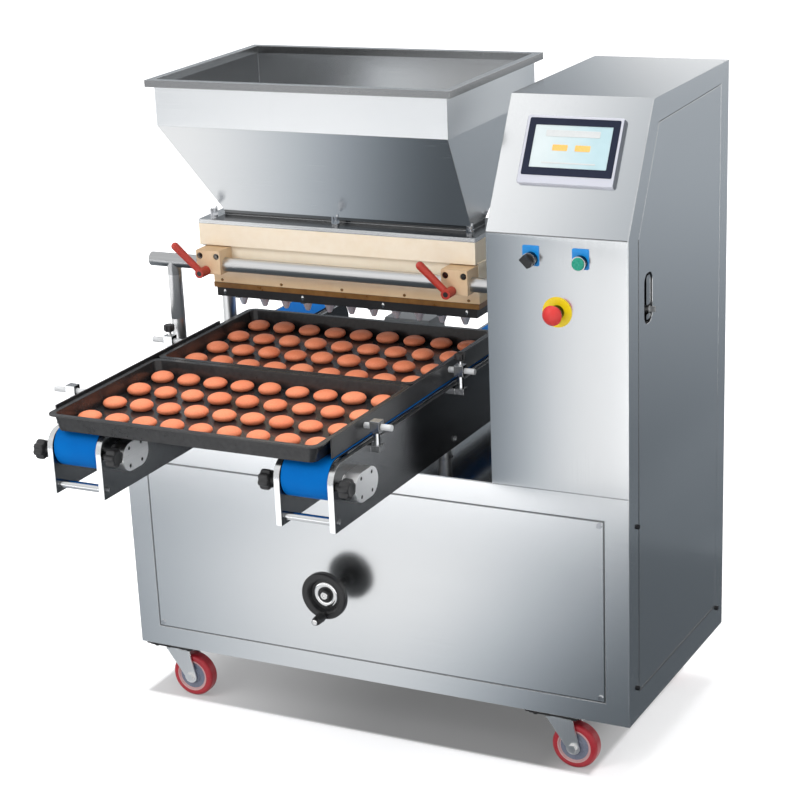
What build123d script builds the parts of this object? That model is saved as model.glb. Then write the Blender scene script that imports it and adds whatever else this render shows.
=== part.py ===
"""Cake batter filling machine: a two-belt tray conveyor under a piston depositing head."""

import os
from math import atan2, cos, hypot, pi, sin

from build123d import *

os.makedirs("parts", exist_ok=True)

# Driving dimensions in millimetres: +X is the machine's right, +Y its back, +Z up
cabinet_width = 1170
cabinet_depth = 570
base_z = 132
deck_z = 624
column_width = 290
crease_z = 1136
column_top_z = 1378
incline_setback = 137
sheet = 2
seam = 1.5
tray_overhang = 500
lock_proud = 10
collar_proud = 18

# The frame's origin is the middle of the machine's footprint, on the floor
right_x = (cabinet_width - lock_proud) / 2
left_x = right_x - cabinet_width
column_x = right_x - column_width
side_x = right_x - sheet
front_y = (tray_overhang - cabinet_depth - collar_proud) / 2
back_y = front_y + cabinet_depth

# Cabinet openings, frame and fittings
panel_margin = 51
panel_bottom_z = 177
panel_top_z = 573
panel_left_x = left_x + panel_margin
panel_right_x = right_x - panel_margin
panel_screw_inset = 11
tube = 40
tube_wall = 2.5
door_front_y = front_y + 53
door_back_y = front_y + 523
door_bottom_z = 192
door_crease_z = 1127
door_top_front = (front_y + 164, 1329)
door_top_z = 1337
pivot_x = right_x - 3.5
pivot_y = door_back_y - 5.5
pivot_radius = 1.2
pivot_lug = 12
lock_plate_y = front_y + 106
lock_plate_z = 1001
lock_plate_size = (45, 100)
lock_recess = 14
lock_corner = 18
lock_knob_y = front_y + 118
lock_knob_z = 976
lock_knob_radius = 6.5
lock_cam_length = 76
collar_x = right_x - 145
collar_z = 260
collar_bore_radius = 12
collar_radius = 17
vent_centre = (left_x + 560, back_y, 380)
vent_rows = 6
vent_pitch = 30

# Operator controls
hmi_width = 198
hmi_height = 136
hmi_x = right_x - 144
hmi_up = 166
hmi_proud = 9
hmi_body = (170, 110, 32)
screen_size = (160, 88)
screen_depth = 1.6
selector_x = right_x - 196.5
start_x = right_x - 95
button_z = 1090
estop_x = right_x - 144
estop_z = 989
estop_disc_radius = 30
estop_head_radius = 20
legend_size = (34, 40)
legend_top_z = 1116.5
legend_thick = 1.5
ring_radius = 14.5
ring_height = 12
barrel_radius = 11
barrel_length = 42
bore_radius = 10
bore_depth = 10
stem_radius = 9.7
cap_radius = 12.2
cap_recess = 9

# Casters
wheel_radius = 50
wheel_width = 32
tread_round = 8
caster_trail = 37
caster_plate = (120, 85, 5)
caster_flange = (106, 76, 4)
caster_nut_spacing = (84, 54)
caster_front_y = front_y + 46
caster_back_y = back_y - 46
caster_left_x = right_x - 1100
caster_right_x = right_x - 171
fork_gap = 38
fork_sheet = 4
swivel_radius = 25
swivel_height = 9
axle_radius = 6
fork_foot = 15

# Deck lift
wheel_axis_x = right_x - 655
wheel_axis_z = 346
screw_y = front_y + 215
screw_radius = 12
screw_end_radius = 9
gearbox_size = (110, 120, 100)
column_guide_radius = 15
column_guide_dx = 170
carriage_z = 520
carriage_height = 40
lift_post_radius = 14
lift_post_ys = (front_y + 110, front_y + 470)
handwheel_radius = 52
handwheel_y = front_y - 60
grip_radius_on_wheel = 42
shaft_radius = 8
fit = 0.05

# Conveyors and trays
head_x = right_x - 700
belt_top_z = 812
belt_width = 98
belt_thick = 3
belt_offset_x = 254
nose_outer_radius = 42
conveyor_inner_width = 101
plate_thick = 12
plate_bottom_z = 679
plate_top_z = 807
nose_front_y = front_y - 487
conveyor_end_y = front_y + 545
roller_radius = nose_outer_radius - belt_thick
roller_z = belt_top_z - nose_outer_radius
nose_axis_y = nose_front_y + nose_outer_radius + 3
drive_axis_y = conveyor_end_y - nose_outer_radius - 3
roller_shaft_radius = 10
tie_rod_radius = 8
tie_rod_z = plate_bottom_z + 17
tie_rod_ys = (nose_front_y + 16, front_y + 30, conveyor_end_y - 16)
housing_size = (90, 58, 28)
housing_y = front_y - 408
housing_z = 753
nose_knob_y = front_y - 475
nose_knob_z = 765
nose_star = (20, 20)
guide_star = (12, 14)
star_lobes = 7
tray_x = head_x - 5
tray_size = (600, 397)
tray_height = 35
tray_floor = 2
tray_wall = 3
tray_lip = 9
tray_gap = 3
tray_front_y = front_y - tray_overhang
guide_height = 38
guide_bottom_z = 813.5
guide_sheet = 3
guide_gap = 3
guide_front_y = front_y - 455
guide_left_end_y = front_y + 170
guide_right_end_y = front_y + 295
guide_rod_radius = 6
guide_rod_z = 837
guide_rod_y = front_y + 45

# Depositing head
rail_radius = 15
rail_front_y = front_y + 108
rail_front_z = 998
rail_back_y = front_y + 323
rail_back_z = 991
rail_left_x = right_x - 1130
post_x = right_x - 1075
head_xs = (right_x - 993, right_x - 369)
upper_xs = (right_x - 1016, right_x - 371)
upper_front_y = front_y + 125
head_front_y = front_y + 135
head_back_y = front_y + 295
head_axis_y = front_y + 215
upper_top_z = 1079
block_top_z = 1033
block_bottom_z = 950
strip_bottom_z = 939
plate_low_z = 920
nozzle_tip_z = 880.5
nozzle_count = 11
nozzle_pitch = 53.2
nozzle_bore = 3.5
nozzle_radius = 18
nozzle_tip_radius = 6
valve_z = 1008
valve_radius = 20
valve_port = 7
piston_z = 1013
piston_radius = 10
piston_length = 16
piston_rod_radius = 4
bar_front_y = front_y + 346
bar_back_y = front_y + 358
rack_module = 2.5
pinion_teeth = 16
rack_teeth = 9
rack_width = 24
rack_offsets_x = (-216, 216)
pinion_axis_y = front_y + 400
pinion_shaft_radius = 10
backlash = 0.3
clamp_front_y = front_y + 85
clamp_bottom_z = 980
clamp_top_z = 1031
clamp_size_x = 58
clamp_xs = (right_x - 974, right_x - 400)
lever_hub_dx = -6
lever_z = 988
lever_length = 78
shank_radius = 5

# Hopper
rim_z = 1405
rim_x = (right_x - 1036, right_x - 351)
rim_y = (front_y - 11, front_y + 439)
lip_width = 14
lip_height = 14
hopper_crease_z = 1310
hopper_bottom_z = 1097
flange_bottom_z = 1079
flange_top_z = 1088
throat_x = (right_x - 983, right_x - 404)
throat_y = (front_y + 180, front_y + 248)
hopper_sheet = 2.5

head_width = head_xs[1] - head_xs[0]
pinion_pitch_radius = rack_module * pinion_teeth / 2
rack_pitch_z = piston_z + 5
pinion_z = rack_pitch_z + pinion_pitch_radius
nozzle_xs = [tray_x + (i - (nozzle_count - 1) / 2) * nozzle_pitch for i in range(nozzle_count)]
conveyor_xs = (head_x - belt_offset_x, head_x + belt_offset_x)
caster_places = {
    "front_left": (caster_left_x, caster_front_y),
    "front_right": (caster_right_x, caster_front_y),
    "back_left": (caster_left_x, caster_back_y),
    "back_right": (caster_right_x, caster_back_y),
}


def save(builder, name):
    """Label one finished sub-part and write it as its own STEP file."""
    builder.part.label = name
    export_step(builder.part, f"parts/{name}.step")


def block(xs, ys, zs, mode=Mode.ADD):
    """A box between two limits along each axis, in the active part."""
    middle = (sum(xs) / 2, sum(ys) / 2, sum(zs) / 2)
    with Locations(middle):
        Box(xs[1] - xs[0], ys[1] - ys[0], zs[1] - zs[0], mode=mode)


def rod(start, direction, length, radius, mode=Mode.ADD):
    """A round bar from a point along a direction, in the active part."""
    with Locations(Plane(origin=start, z_dir=direction)):
        Cylinder(radius, length, align=(Align.CENTER, Align.CENTER, Align.MIN), mode=mode)


def cut_block(xs, ys, zs):
    """Take a box out of the active part."""
    block(xs, ys, zs, mode=Mode.SUBTRACT)


def cut_rod(start, direction, length, radius):
    """Take a round hole out of the active part."""
    rod(start, direction, length, radius, mode=Mode.SUBTRACT)


def side_profile(points, x, depth, mode=Mode.ADD):
    """Extrude an outline of (y, z) points along +X from x."""
    with BuildSketch(Plane(origin=(x, 0, 0), x_dir=(0, 1, 0), z_dir=(1, 0, 0))) as outline:
        with BuildLine():
            Polyline(*points, close=True)
        make_face()
    extrude(outline.sketch, amount=depth, mode=mode)


def star_knob(origin, direction, radius, height):
    """A seven-lobed clamping knob standing on a plane, with its lobes on a ring."""
    lobe = radius * 0.3
    with BuildSketch(Plane(origin=origin, z_dir=direction)) as outline:
        Circle(radius - lobe * 1.05)
        with PolarLocations(radius - lobe, star_lobes):
            Circle(lobe)
    extrude(outline.sketch, amount=height)


# Tubular frame inside the base, with the gearbox stand and the lift's guide columns
frame_y = (front_y + sheet, back_y - sheet)
frame_low_z = base_z + sheet
frame_high_z = deck_z - sheet
frame_xs = (panel_left_x, panel_right_x)
panel_zs = (panel_bottom_z, panel_top_z)
frame_ends_y = (frame_y[0] + tube / 2, frame_y[1] - tube / 2)
beam_x = (panel_left_x - tube / 2, panel_right_x + tube / 2)
screw_points = [
    (x, z)
    for x in (panel_left_x + panel_screw_inset, panel_right_x - panel_screw_inset)
    for z in (panel_bottom_z + panel_screw_inset, panel_top_z - panel_screw_inset)
]
stand_x = (wheel_axis_x - 70, wheel_axis_x + 70)
stand_y = (screw_y - 60, screw_y + 60)
stand_top_z = wheel_axis_z - gearbox_size[2] / 2
top_beam_z = (frame_high_z - 12, frame_high_z)
guide_places = [(wheel_axis_x + side * column_guide_dx, screw_y) for side in (-1, 1)]


def around(middle, width=tube):
    """Limits of a bar of the given width about a middle."""
    return (middle - width / 2, middle + width / 2)


frame_tubes = [(beam_x, around(y), around(z)) for y in (*frame_ends_y, screw_y) for z in panel_zs[:1]]
frame_tubes += [(beam_x, around(y), around(panel_top_z)) for y in frame_ends_y]
frame_tubes += [(around(x), around(y), (frame_low_z, frame_high_z)) for x in frame_xs for y in frame_ends_y]
frame_tubes += [(around(x), frame_y, around(z)) for x in frame_xs for z in panel_zs]
with BuildPart() as base_frame:
    for bar in frame_tubes:
        block(*bar)
    for bar in frame_tubes:
        cut_block(*[(low + tube_wall, high - tube_wall) for low, high in bar])
    for y in (stand_y[0], stand_y[1] - 8):
        block(stand_x, (y, y + 8), (panel_bottom_z + tube / 2, stand_top_z))
    block(stand_x, stand_y, (panel_bottom_z + tube / 2, panel_bottom_z + tube / 2 + 8))
    block(stand_x, stand_y, (stand_top_z - 8, stand_top_z))
    block(beam_x, around(screw_y, 70), top_beam_z)
    for x, y in guide_places:
        guide_low_z = panel_bottom_z + tube / 2 - tube_wall
        rod((x, y, guide_low_z), (0, 0, 1), top_beam_z[1] - guide_low_z, column_guide_radius)
    cut_rod((wheel_axis_x, screw_y, top_beam_z[0]), (0, 0, 1), 12, screw_end_radius + fit)
    for x, z in screw_points:
        cut_rod((x, frame_y[0], z), (0, 1, 0), tube_wall, 3)
save(base_frame, "base_frame")

# Base shell: bottom, left and back walls and the front face round the service panel
with BuildPart() as base_shell:
    block((left_x, side_x), (front_y, back_y), (base_z, frame_high_z))
    block(
        (left_x + sheet, side_x),
        (front_y + sheet, back_y - sheet),
        (base_z + sheet, frame_high_z),
        mode=Mode.SUBTRACT,
    )
    block(
        (panel_left_x, panel_right_x),
        (front_y, front_y + sheet),
        (panel_bottom_z, panel_top_z),
        mode=Mode.SUBTRACT,
    )
    rod((collar_x, back_y - sheet, collar_z), (0, 1, 0), sheet + collar_proud, collar_radius)
    cut_rod((collar_x, back_y - sheet, collar_z), (0, 1, 0), sheet + collar_proud, collar_bore_radius)
    with BuildSketch(Plane(origin=vent_centre, z_dir=(0, 1, 0))):
        with GridLocations(0, vent_pitch, 1, vent_rows):
            SlotOverall(180, 8)
    extrude(amount=-sheet, mode=Mode.SUBTRACT)
save(base_shell, "base_shell")

# Front service panel, flush in its opening
with BuildPart() as front_panel:
    block(
        (panel_left_x + seam, panel_right_x - seam),
        (front_y, front_y + sheet),
        (panel_bottom_z + seam, panel_top_z - seam),
    )
    cut_rod((wheel_axis_x, front_y, wheel_axis_z), (0, 1, 0), sheet, shaft_radius + 3)
    for x, z in screw_points:
        cut_rod((x, front_y, z), (0, 1, 0), sheet, 3.3)
save(front_panel, "front_panel")

# Deck over the base, open under the column, with holes for the four lift posts
lift_posts = [(x, y) for x in conveyor_xs for y in lift_post_ys]
with BuildPart() as deck_plate:
    block((left_x, side_x), (front_y, back_y), (frame_high_z, deck_z))
    block(
        (column_x + 20, side_x),
        (front_y + 20, back_y - 20),
        (frame_high_z, deck_z),
        mode=Mode.SUBTRACT,
    )
    for x, y in lift_posts:
        cut_rod((x, y, frame_high_z), (0, 0, 1), sheet, lift_post_radius + 4)
save(deck_plate, "deck_plate")

# Column shell: a folded sheet whose front leans back above the crease
incline_length = hypot(incline_setback, column_top_z - crease_z)
lean = (incline_setback / incline_length, (column_top_z - crease_z) / incline_length)
incline = Plane(origin=(0, front_y, crease_z), x_dir=(1, 0, 0), z_dir=(0, -lean[1], lean[0]))
fold = sheet * (1 - lean[1]) / lean[0]
column_outline = (
    (front_y, deck_z),
    (front_y, crease_z),
    (front_y + incline_setback, column_top_z),
    (back_y, column_top_z),
    (back_y, deck_z),
)
column_inside = (
    (front_y + sheet, deck_z),
    (front_y + sheet, crease_z - fold),
    (front_y + incline_setback + sheet, column_top_z - sheet),
    (back_y - sheet, column_top_z - sheet),
    (back_y - sheet, deck_z),
)
button_places = ((selector_x, button_z), (start_x, button_z), (estop_x, estop_z))
with BuildPart() as column_shell:
    side_profile(column_outline, column_x, side_x - column_x)
    side_profile(column_inside, column_x + sheet, side_x - column_x, mode=Mode.SUBTRACT)
    with BuildSketch(incline):
        with Locations((hmi_x, hmi_up)):
            Rectangle(hmi_body[0] + 1, hmi_body[1] + 1)
    extrude(amount=-3 * sheet, mode=Mode.SUBTRACT)
    for x, z in button_places:
        cut_rod((x, front_y, z), (0, 1, 0), sheet, barrel_radius + 0.3)
    cut_rod((column_x, head_axis_y, valve_z), (1, 0, 0), sheet, 16)
    cut_rod((column_x, pinion_axis_y, pinion_z), (1, 0, 0), sheet, 16)
save(column_shell, "column_shell")

# Right side wall with the opening for the service door
door_outline = (
    (door_front_y, door_bottom_z),
    (door_front_y, door_crease_z),
    door_top_front,
    (door_back_y, door_top_z),
    (door_back_y, door_bottom_z),
)
side_outline = (
    (front_y, base_z),
    (front_y, crease_z),
    (front_y + incline_setback, column_top_z),
    (back_y, column_top_z),
    (back_y, base_z),
)
lug_xs = (side_x - 2 * pivot_radius - 3, side_x)
socket_zs = ((door_bottom_z - pivot_lug - 2, door_bottom_z - 2), (door_top_z + 2, door_top_z + pivot_lug + 2))
with BuildPart() as right_side:
    side_profile(side_outline, side_x, sheet)
    side_profile(door_outline, side_x, sheet, mode=Mode.SUBTRACT)
    for zs in socket_zs:
        block(lug_xs, (pivot_y - 6, pivot_y + 9), zs)
        cut_rod((pivot_x, pivot_y, zs[0]), (0, 0, 1), pivot_lug, pivot_radius + fit)
save(right_side, "right_side")

# Service door: flush sheet with a deep pull recess, and pivot pins behind its back edge
recess_plane = Plane(origin=(right_x, lock_plate_y, lock_plate_z), x_dir=(0, 1, 0), z_dir=(1, 0, 0))
lug_gap = 4
door_lug_zs = (
    (door_bottom_z + lug_gap, door_bottom_z + lug_gap + pivot_lug),
    (door_top_z - lug_gap - pivot_lug, door_top_z - lug_gap),
)
pin_zs = ((socket_zs[0][0] + 1, door_lug_zs[0][1]), (door_lug_zs[1][0], socket_zs[1][1] - 1))
with BuildPart() as side_door:
    with BuildSketch(Plane(origin=(side_x, 0, 0), x_dir=(0, 1, 0), z_dir=(1, 0, 0))):
        with BuildLine():
            Polyline(*door_outline, close=True)
        make_face()
        offset(amount=-seam, kind=Kind.INTERSECTION)
    extrude(amount=sheet)
    with BuildSketch(recess_plane):
        RectangleRounded(lock_plate_size[0] + 2 * sheet, lock_plate_size[1] + 2 * sheet, lock_corner + sheet)
    extrude(amount=-lock_recess - sheet)
    with BuildSketch(recess_plane):
        RectangleRounded(lock_plate_size[0], lock_plate_size[1], lock_corner)
    extrude(amount=-lock_recess, mode=Mode.SUBTRACT)
    cut_rod((right_x - lock_recess - sheet, lock_knob_y, lock_knob_z), (1, 0, 0), sheet, 4 + fit)
    for zs in door_lug_zs:
        block(lug_xs, (pivot_y - 6, pivot_y + 2), zs)
    for zs in pin_zs:
        rod((pivot_x, pivot_y, zs[0]), (0, 0, 1), zs[1] - zs[0], pivot_radius)
save(side_door, "side_door")

# Quarter-turn lock: a knob on a spindle with a cam behind the door
with BuildPart() as lock_handle:
    rod((right_x - lock_recess - 14, lock_knob_y, lock_knob_z), (1, 0, 0), 16, 4)
    rod((right_x - lock_recess + 0.5, lock_knob_y, lock_knob_z), (1, 0, 0), lock_recess - 2, lock_knob_radius)
    block(
        (right_x - 2, right_x + lock_proud),
        (lock_knob_y - 2, lock_knob_y + 2),
        (lock_knob_z - lock_knob_radius + 1, lock_knob_z + lock_knob_radius - 1),
    )
    block(
        (right_x - lock_recess - 14, right_x - lock_recess - 10),
        (lock_knob_y - 7, lock_knob_y + 7),
        (lock_knob_z - lock_cam_length, lock_knob_z + 7),
    )
save(lock_handle, "lock_handle")

# Electrical plate at the back of the column, with drive units, breaker row and terminals
plate_y = back_y - sheet - 25
with BuildPart() as electrical_plate:
    block((column_x + 25, right_x - 40), (plate_y, plate_y + 3), (680, 1260))
    for x in (column_x + 35, right_x - 70):
        for z in (690, 1230):
            block((x, x + 20), (plate_y + 3, back_y - sheet), (z, z + 20))
    for x in (column_x + 45, column_x + 120):
        block((x, x + 60), (plate_y - 110, plate_y), (1100, 1220))
    block((column_x + 40, right_x - 60), (plate_y - 60, plate_y), (890, 960))
    block((column_x + 40, right_x - 60), (plate_y - 35, plate_y), (740, 790))
save(electrical_plate, "electrical_plate")

# Touch panel: bezel with its body through the incline, and the screen set into the bezel
with BuildPart() as hmi_bezel:
    with BuildSketch(incline):
        with Locations((hmi_x, hmi_up)):
            RectangleRounded(hmi_width, hmi_height, 6)
    extrude(amount=hmi_proud)
    chamfer(hmi_bezel.faces().sort_by(Axis((0, 0, 0), incline.z_dir))[-1].edges(), 2)
    with BuildSketch(incline):
        with Locations((hmi_x, hmi_up)):
            Rectangle(hmi_body[0], hmi_body[1])
    extrude(amount=-hmi_body[2])
    with BuildSketch(incline.offset(hmi_proud)):
        with Locations((hmi_x, hmi_up + 6)):
            Rectangle(screen_size[0], screen_size[1])
    extrude(amount=-screen_depth, mode=Mode.SUBTRACT)
save(hmi_bezel, "hmi_bezel")

with BuildPart() as hmi_screen:
    with BuildSketch(incline.offset(hmi_proud - screen_depth)):
        with Locations((hmi_x, hmi_up + 6)):
            Rectangle(screen_size[0] - 0.2, screen_size[1] - 0.2)
    extrude(amount=screen_depth - 0.4)
save(hmi_screen, "hmi_screen")

# Legend plates: two small plates behind the buttons and the emergency-stop disc
with BuildPart() as legend_plates:
    for x in (selector_x, start_x):
        plate_middle = (x, front_y, legend_top_z - legend_size[1] / 2)
        with BuildSketch(Plane(origin=plate_middle, x_dir=(1, 0, 0), z_dir=(0, -1, 0))) as plate_outline:
            RectangleRounded(legend_size[0], legend_size[1], 3)
        extrude(plate_outline.sketch, amount=legend_thick)
    rod((estop_x, front_y, estop_z), (0, -1, 0), legend_thick, estop_disc_radius)
    for x, z in button_places:
        cut_rod((x, front_y, z), (0, -1, 0), legend_thick, barrel_radius + 0.2)
save(legend_plates, "legend_plates")

# Button bezels: a chromed ring outside, a threaded barrel and a lock nut inside
with BuildPart() as button_bezels:
    for x, z in button_places:
        ring_y = front_y - legend_thick - ring_height
        rod((x, ring_y, z), (0, 1, 0), ring_height, ring_radius)
        rod((x, front_y - legend_thick, z), (0, 1, 0), barrel_length, barrel_radius)
        rod((x, front_y + sheet, z), (0, 1, 0), 6, ring_radius)
        cut_rod((x, front_y + bore_depth, z), (0, -1, 0), bore_depth + 20, bore_radius)
        cut_rod((x, ring_y, z), (0, 1, 0), cap_recess, cap_radius + 0.3)
save(button_bezels, "button_bezels")

# Selector knob: a grip bar that points to the upper left, with a pointed lower end
cap_back_y = front_y - legend_thick - ring_height + cap_recess - 4.5
knob_face_y = front_y - 16
with BuildPart() as selector_knob:
    rod((selector_x, front_y + bore_depth - 1, button_z), (0, -1, 0), bore_depth + 12, stem_radius)
    rod((selector_x, cap_back_y, button_z), (0, -1, 0), cap_back_y - knob_face_y, cap_radius)
    with BuildSketch(Plane(origin=(selector_x, knob_face_y, button_z), x_dir=(1, 0, 0), z_dir=(0, -1, 0))):
        with Locations(Rotation(0, 0, 45)):
            Polygon((-7, -11), (0, -14), (7, -11), (7, 12), (-7, 12), align=None)
    extrude(amount=12)
save(selector_knob, "selector_knob")

# Start button: a wide cap on a stem
with BuildPart() as start_button:
    rod((start_x, front_y + 5, button_z), (0, -1, 0), 16, stem_radius)
    rod((start_x, cap_back_y, button_z), (0, -1, 0), 8, cap_radius)
    fillet(start_button.faces().sort_by(Axis.Y)[0].edges(), 1.5)
save(start_button, "start_button")

# Emergency-stop mushroom: a domed head on a stem
dome_rise = 12
dome_edge_y = -27
dome_radius = (estop_head_radius**2 + dome_rise**2) / (2 * dome_rise)
dome_centre_y = dome_edge_y - dome_rise + dome_radius
with BuildPart() as estop_head:
    with BuildSketch(Plane(origin=(estop_x, front_y, estop_z), x_dir=(1, 0, 0), z_dir=(0, 0, 1))):
        with BuildLine():
            Polyline((0, 5), (stem_radius, 5), (stem_radius, -19), (17, -22))
            Line((17, -22), (estop_head_radius, dome_edge_y))
            half_angle = atan2(estop_head_radius, dome_centre_y - dome_edge_y) / 2
            ThreePointArc(
                (estop_head_radius, dome_edge_y),
                (dome_radius * sin(half_angle), dome_centre_y - dome_radius * cos(half_angle)),
                (0, dome_edge_y - dome_rise),
            )
            Line((0, dome_edge_y - dome_rise), (0, 5))
        make_face()
    revolve(axis=Axis((estop_x, front_y, estop_z), (0, 1, 0)))
save(estop_head, "estop_head")

# Casters: a top plate with a swivel cup, a fork that swivels and a wheel on its axle
flange_z = base_z - caster_plate[2]
swivel_z = flange_z - caster_flange[2]
with BuildPart() as caster_plates:
    for x, y in caster_places.values():
        block(around(x, caster_plate[0]), around(y, caster_plate[1]), (flange_z, base_z))
        block(around(x, caster_flange[0]), around(y, caster_flange[1]), (swivel_z, flange_z))
        rod((x, y, swivel_z), (0, 0, -1), swivel_height, swivel_radius - 6)
        with BuildSketch(Plane(origin=(x, y, swivel_z))) as nuts:
            with GridLocations(caster_nut_spacing[0], caster_nut_spacing[1], 2, 2):
                RegularPolygon(6.5, 6)
        extrude(nuts.sketch, amount=-5)
save(caster_plates, "caster_plates")

for place, (x, y) in caster_places.items():
    axle_x = x + caster_trail
    crown_z = swivel_z - swivel_height - 0.4
    crown_xs = (x - 22, x + 36)
    with BuildPart() as caster_fork:
        rod((x, y, swivel_z - 0.4), (0, 0, -1), swivel_height, swivel_radius)
        cut_rod((x, y, swivel_z - 0.4), (0, 0, -1), swivel_height, swivel_radius - 6 + 0.3)
        fork_half = fork_gap / 2 + fork_sheet
        block(crown_xs, (y - fork_half, y + fork_half), (crown_z - fork_sheet, crown_z))
        for cheek_y in (y - fork_half, y + fork_gap / 2):
            with BuildSketch(Plane(origin=(0, cheek_y + fork_sheet, 0), x_dir=(1, 0, 0), z_dir=(0, -1, 0))):
                with BuildLine():
                    foot = ThreePointArc(
                        (axle_x + fork_foot, wheel_radius),
                        (axle_x, wheel_radius - fork_foot),
                        (axle_x - fork_foot, wheel_radius),
                    )
                    Polyline(foot @ 1, (crown_xs[0], crown_z), (crown_xs[1], crown_z), foot @ 0)
                make_face()
            extrude(amount=fork_sheet)
        rod((axle_x, y - fork_half, wheel_radius), (0, 1, 0), 2 * fork_half, axle_radius)
        for end_y, way, height in ((y - fork_half, -1, 7), (y + fork_half, 1, 8)):
            with BuildSketch(Plane(origin=(axle_x, end_y, wheel_radius), x_dir=(1, 0, 0), z_dir=(0, way, 0))):
                RegularPolygon(10, 6)
            extrude(amount=height)
    save(caster_fork, f"caster_fork_{place}")

    seam_way = 1 if x == caster_left_x else -1
    with BuildPart() as caster_wheel:
        with BuildSketch(Plane(origin=(axle_x, y, wheel_radius), x_dir=(seam_way, 0, 0), z_dir=(0, 0, 1))):
            with BuildLine():
                half = wheel_width / 2
                tread = wheel_radius - tread_round
                middle = tread_round * (1 - sin(pi / 4))
                Polyline((axle_radius + fit, -half), (18, -half), (20, -half + 3), (33, -half + 3))
                Polyline((33, -half + 3), (35, -half), (tread, -half))
                turn = wheel_radius - middle
                side = half - tread_round
                ThreePointArc((tread, -half), (turn, -half + middle), (wheel_radius, -side))
                Line((wheel_radius, -side), (wheel_radius, side))
                ThreePointArc((wheel_radius, side), (turn, half - middle), (tread, half))
                Polyline((tread, half), (35, half), (33, half - 3), (20, half - 3))
                Polyline((20, half - 3), (18, half), (axle_radius + fit, half), (axle_radius + fit, -half))
            make_face()
        revolve(axis=Axis((axle_x, y, wheel_radius), (0, 1, 0)))
    save(caster_wheel, f"caster_wheel_{place}")

# Lift gearbox: a closed right-angle housing with a bore for each shaft
gear_x, gear_y, gear_z = gearbox_size
shaft_end_y = screw_y - 20
screw_foot_z = wheel_axis_z + 10
with BuildPart() as lift_gearbox:
    block(around(wheel_axis_x, gear_x), around(screw_y, gear_y), around(wheel_axis_z, gear_z))
    chamfer(lift_gearbox.edges().filter_by(Axis.Z), 6)
    rod((wheel_axis_x, screw_y - gear_y / 2, wheel_axis_z), (0, -1, 0), 10, 30)
    rod((wheel_axis_x, screw_y, wheel_axis_z + gear_z / 2), (0, 0, 1), 4, 30)
    cut_rod((wheel_axis_x, shaft_end_y, wheel_axis_z), (0, -1, 0), gear_y, shaft_radius + fit)
    cut_rod((wheel_axis_x, screw_y, screw_foot_z), (0, 0, 1), gear_z, screw_end_radius + fit)
save(lift_gearbox, "lift_gearbox")

# Lift screw between the gearbox and the top beam
screw_low_z = wheel_axis_z + gear_z / 2 + 5
with BuildPart() as lead_screw:
    screw_span = frame_high_z - 2 - screw_foot_z
    rod((wheel_axis_x, screw_y, screw_foot_z + 0.5), (0, 0, 1), screw_span, screw_end_radius)
    rod((wheel_axis_x, screw_y, screw_low_z), (0, 0, 1), top_beam_z[0] - 0.5 - screw_low_z, screw_radius)
save(lead_screw, "lead_screw")

# Handwheel: a dished wheel on its shaft, with the pin that carries the grip
grip_z = wheel_axis_z - grip_radius_on_wheel
grip_tip_y = front_y - 110
rim_front_y = handwheel_y - 8
with BuildPart() as handwheel:
    hub_middle = (wheel_axis_x, handwheel_y, wheel_axis_z)
    with BuildSketch(Plane(origin=hub_middle, x_dir=(1, 0, 0), z_dir=(0, 0, 1))):
        with BuildLine():
            Polyline(
                (0, -3),
                (12, -3),
                (14, 4),
                (33, 4),
                (36, -6),
                (39, -8),
                (handwheel_radius - 3, -8),
                (handwheel_radius, -5),
                (handwheel_radius, 5),
                (handwheel_radius - 4, 9),
                (38, 11),
                (18, 13),
                (16, 34),
                (0, 34),
                close=True,
            )
        make_face()
    revolve(axis=Axis((wheel_axis_x, handwheel_y, wheel_axis_z), (0, 1, 0)))
    shaft_start_y = handwheel_y + 30
    shaft_length = shaft_end_y - 0.5 - shaft_start_y
    rod((wheel_axis_x, shaft_start_y, wheel_axis_z), (0, 1, 0), shaft_length, shaft_radius)
    rod((wheel_axis_x, handwheel_y, grip_z), (0, -1, 0), handwheel_y - grip_tip_y, 4)
    rod((wheel_axis_x, grip_tip_y + 3, grip_z), (0, -1, 0), 3, 7)
save(handwheel, "handwheel")

# Grip that spins on the handwheel's pin
with BuildPart() as handwheel_grip:
    with BuildSketch(Plane(origin=(wheel_axis_x, 0, grip_z), x_dir=(1, 0, 0), z_dir=(0, 0, 1))):
        with BuildLine():
            low_y = rim_front_y - 0.4
            high_y = grip_tip_y + 3.4
            Polyline(
                (4 + fit, low_y),
                (8, low_y),
                (10.5, low_y - 14),
                (9.5, high_y + 4),
                (8, high_y),
                (4 + fit, high_y),
                close=True,
            )
        make_face()
    revolve(axis=Axis((wheel_axis_x, 0, grip_z), (0, 1, 0)))
save(handwheel_grip, "handwheel_grip")

# Lift carriage: nut and sleeves on a beam, and four posts up to the conveyors
beam_width = 26
saddle_z = (690, 715)
carriage_zs = (carriage_z, carriage_z + carriage_height)
with BuildPart() as lift_carriage:
    block((conveyor_xs[0] - 20, conveyor_xs[1] + 20), around(screw_y, beam_width), carriage_zs)
    block(around(wheel_axis_x, 80), around(screw_y, 80), carriage_zs)
    for x in conveyor_xs:
        block(around(x, beam_width), (lift_post_ys[0] - 20, lift_post_ys[1] + 20), carriage_zs)
    for x, y in guide_places:
        rod((x, y, carriage_z - 15), (0, 0, 1), carriage_height + 30, column_guide_radius + 12)
    for x, y in lift_posts:
        rod((x, y, carriage_zs[0]), (0, 0, 1), saddle_z[0] - carriage_zs[0], lift_post_radius)
        block(around(x, conveyor_inner_width), around(y, 50), saddle_z)
    for x, y in guide_places:
        cut_rod((x, y, carriage_z - 15), (0, 0, 1), carriage_height + 30, column_guide_radius + fit)
    cut_rod((wheel_axis_x, screw_y, carriage_z), (0, 0, 1), carriage_height, screw_radius + fit)
save(lift_carriage, "lift_carriage")

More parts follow.
